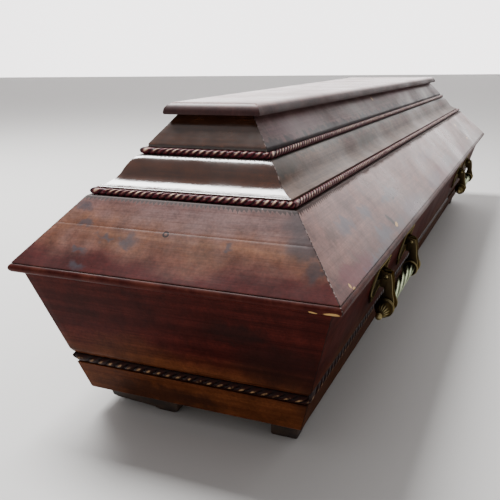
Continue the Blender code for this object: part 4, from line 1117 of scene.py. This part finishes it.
class COFFIN_OT_handles(bpy.types.Operator):
    """Make the four swing handles"""

    bl_idname = "coffin.handles"
    bl_label = "Handles"

    def execute(self, context):
        colours = context.scene.coffin_colours
        sizes = context.scene.coffin_sizes
        bronze = cast_metal("antique_bronze", colours.bronze, colours.bronze_rubbed, 0.42, (0.40, 0.38, 0.30))
        silver = cast_metal("silvered_twist", colours.tarnish, colours.silver, 0.30, (0.75, 0.80, 0.68),
                            spread=(0.20, 0.85))
        spacing, drop = 0.227, 0.056
        outer, inner, base, top = reach("box_wall_foot_end")
        lean = (inner - outer - sizes.wall_thickness) / (top - base)
        arm = arm_shells(drop, sizes)
        plate = plate_shells(lean, sizes)
        bar = bar_shell(spacing / 2 - 0.0132, sizes)
        for joint in frame["joints"]:
            body = joint["child"]
            axis = np.array(joint["axis"], float)
            axis /= np.linalg.norm(axis)
            along = -axis
            up = np.array([0.0, 0.0, 1.0])
            out = np.cross(along, up)
            turn = np.stack([out, along, up])
            origin = np.array(joint["pos_m"], float)

            def placed(shells, shift, flip=1.0):
                moved = []
                for one in shells:
                    points = (one["points"] * np.array([1.0, flip, 1.0]) + np.array(shift)) @ turn + origin
                    moved.append({**one, "points": points})
                return moved

            make_piece(f"{body}_bar_twisted", placed([bar], (0, 0, -drop)), silver, body, [f"{body}_bar"],
                       crease=60)
            for number, sign in ((1, -1), (2, 1)):
                shift = (0, sign * spacing / 2, 0)
                make_piece(f"{body}_arm_{number}_cast", placed(arm, shift, -sign), bronze, body,
                           [f"{body}_arm_{number}"], crease=50)
                make_piece(f"{body}_plate_{number}_stamped", placed(plate, shift), bronze, "coffin",
                           [f"{body}_plate_{number}"], crease=50)
        return {"FINISHED"}


class COFFIN_OT_bottom_board(bpy.types.Operator):
    """Give the bottom board its bare wood"""

    bl_idname = "coffin.bottom_board"
    bl_label = "Bottom board"

    def execute(self, context):
        wood = rough_wood("bare_bottom_board", "#8a6a48", "#5a4029", (60, 2.5, 60))
        node = frame["nodes"]["bottom_board"]
        node.material_slots[0].material = wood
        return {"FINISHED"}


class COFFIN_OT_stage(bpy.types.Operator):
    """Make the floor, the studio light and the camera"""

    bl_idname = "coffin.stage"
    bl_label = "Stage"

    def execute(self, context):
        scene = context.scene
        colours, light = scene.coffin_colours, scene.coffin_stage
        ground = bpy.data.meshes.new("floor")
        reach_of = 30.0
        ground.from_pydata([(-reach_of, -reach_of, 0), (reach_of, -reach_of, 0), (reach_of, reach_of, 0),
                            (-reach_of, reach_of, 0)], [], [(0, 1, 2, 3)])
        floor = bpy.data.objects.new("floor", ground)
        scene.collection.objects.link(floor)
        material, tree, shader = new_material("pale_floor")
        shader.inputs["Base Color"].default_value = (*colours.floor, 1)
        shader.inputs["Roughness"].default_value = 0.7
        ground.materials.append(material)

        # A white surround: even along the horizon, bright from 12 to 25 degrees up beyond the head end, dim behind
        world = bpy.data.worlds.new("studio")
        world.use_nodes = True
        tree = world.node_tree
        way = add_node(tree, "ShaderNodeTexCoord").outputs["Generated"]
        rise = add_node(tree, "ShaderNodeSeparateXYZ", None, {"Vector": way}).outputs["Z"]
        facing = add_node(tree, "ShaderNodeVectorMath", {"operation": "DOT_PRODUCT", 1: (-0.30, 0.95, 0.0)},
                          {0: way}).outputs["Value"]
        above = add_node(tree, "ShaderNodeMapRange", {"interpolation_type": "SMOOTHSTEP", "From Min": 0.10,
                                                      "From Max": 0.42, "To Min": light.horizon,
                                                      "To Max": light.beyond}, {"Value": rise}).outputs[0]
        ahead = add_node(tree, "ShaderNodeMapRange", {"interpolation_type": "SMOOTHSTEP", "From Min": 0.50,
                                                      "From Max": 0.98}, {"Value": facing}).outputs[0]
        strength = add_node(tree, "ShaderNodeMix", {"data_type": "FLOAT", 2: light.surround},
                            {0: ahead, 3: above}).outputs[0]
        tree.links.new(strength, tree.nodes["Background"].inputs["Strength"])
        tree.nodes["Background"].inputs["Color"].default_value = (1.0, 0.965, 0.965, 1.0)
        scene.world = world

        lamp = bpy.data.lights.new("overhead", "AREA")
        lamp.shape = "RECTANGLE"
        lamp.size, lamp.size_y = 2.4, 1.3
        lamp.energy = light.overhead
        box = bpy.data.objects.new("overhead", lamp)
        box.location = (-1.85, 0.05, 3.6)
        scene.collection.objects.link(box)

        # The camera stands where the photograph was taken: worked out from the coffin's own edges
        yaw, pitch, roll = 0.383966, 0.298022, -0.013519
        focal = 601.81
        ahead = np.array([-math.sin(yaw) * math.cos(pitch), math.cos(yaw) * math.cos(pitch), -math.sin(pitch)])
        right = np.array([math.cos(yaw), math.sin(yaw), 0.0])
        above = np.cross(right, ahead)
        across = math.cos(roll) * right + math.sin(roll) * above
        upward = -math.sin(roll) * right + math.cos(roll) * above
        lens = bpy.data.cameras.new("camera")
        lens.sensor_width = 36.0
        lens.lens = focal / 500 * 36.0
        camera = bpy.data.objects.new("camera", lens)
        camera.matrix_world = Matrix((
            (across[0], upward[0], -ahead[0], 0.40356),
            (across[1], upward[1], -ahead[1], -1.68300),
            (across[2], upward[2], -ahead[2], 0.55143),
            (0, 0, 0, 1)))
        scene.collection.objects.link(camera)
        scene.camera = camera
        return {"FINISHED"}


OPERATORS = (COFFIN_OT_box_walls, COFFIN_OT_lid_boards, COFFIN_OT_top_board, COFFIN_OT_ropes, COFFIN_OT_feet,
             COFFIN_OT_handles, COFFIN_OT_bottom_board, COFFIN_OT_stage)


class COFFIN_PT_panel(bpy.types.Panel):
    """Lists the coffin's sizes, colours and operators"""

    bl_idname = "COFFIN_PT_panel"
    bl_label = "Old wooden coffin"
    bl_space_type = "VIEW_3D"
    bl_region_type = "UI"
    bl_category = "Coffin"

    def draw(self, context):
        for group in (context.scene.coffin_sizes, context.scene.coffin_colours, context.scene.coffin_stage):
            for name in group.__annotations__:
                self.layout.prop(group, name)
        for operator in OPERATORS:
            self.layout.operator(operator.bl_idname)


CLASSES = (CoffinSizes, CoffinColours, CoffinStage, *OPERATORS, COFFIN_PT_panel)


def register():
    """Register the classes and hang the settings on the scene."""
    for item in CLASSES:
        bpy.utils.register_class(item)
    bpy.types.Scene.coffin_sizes = PointerProperty(type=CoffinSizes)
    bpy.types.Scene.coffin_colours = PointerProperty(type=CoffinColours)
    bpy.types.Scene.coffin_stage = PointerProperty(type=CoffinStage)


def unregister():
    """Take the settings and classes away again."""
    for name in ("coffin_sizes", "coffin_colours", "coffin_stage"):
        delattr(bpy.types.Scene, name)
    for item in reversed(CLASSES):
        bpy.utils.unregister_class(item)


def main():
    """Register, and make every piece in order."""
    register()
    bpy.ops.coffin.box_walls()
    bpy.ops.coffin.lid_boards()
    bpy.ops.coffin.top_board()
    bpy.ops.coffin.ropes()
    bpy.ops.coffin.feet()
    bpy.ops.coffin.handles()
    bpy.ops.coffin.bottom_board()
    bpy.ops.coffin.stage()


if __name__ == "__main__":
    main()
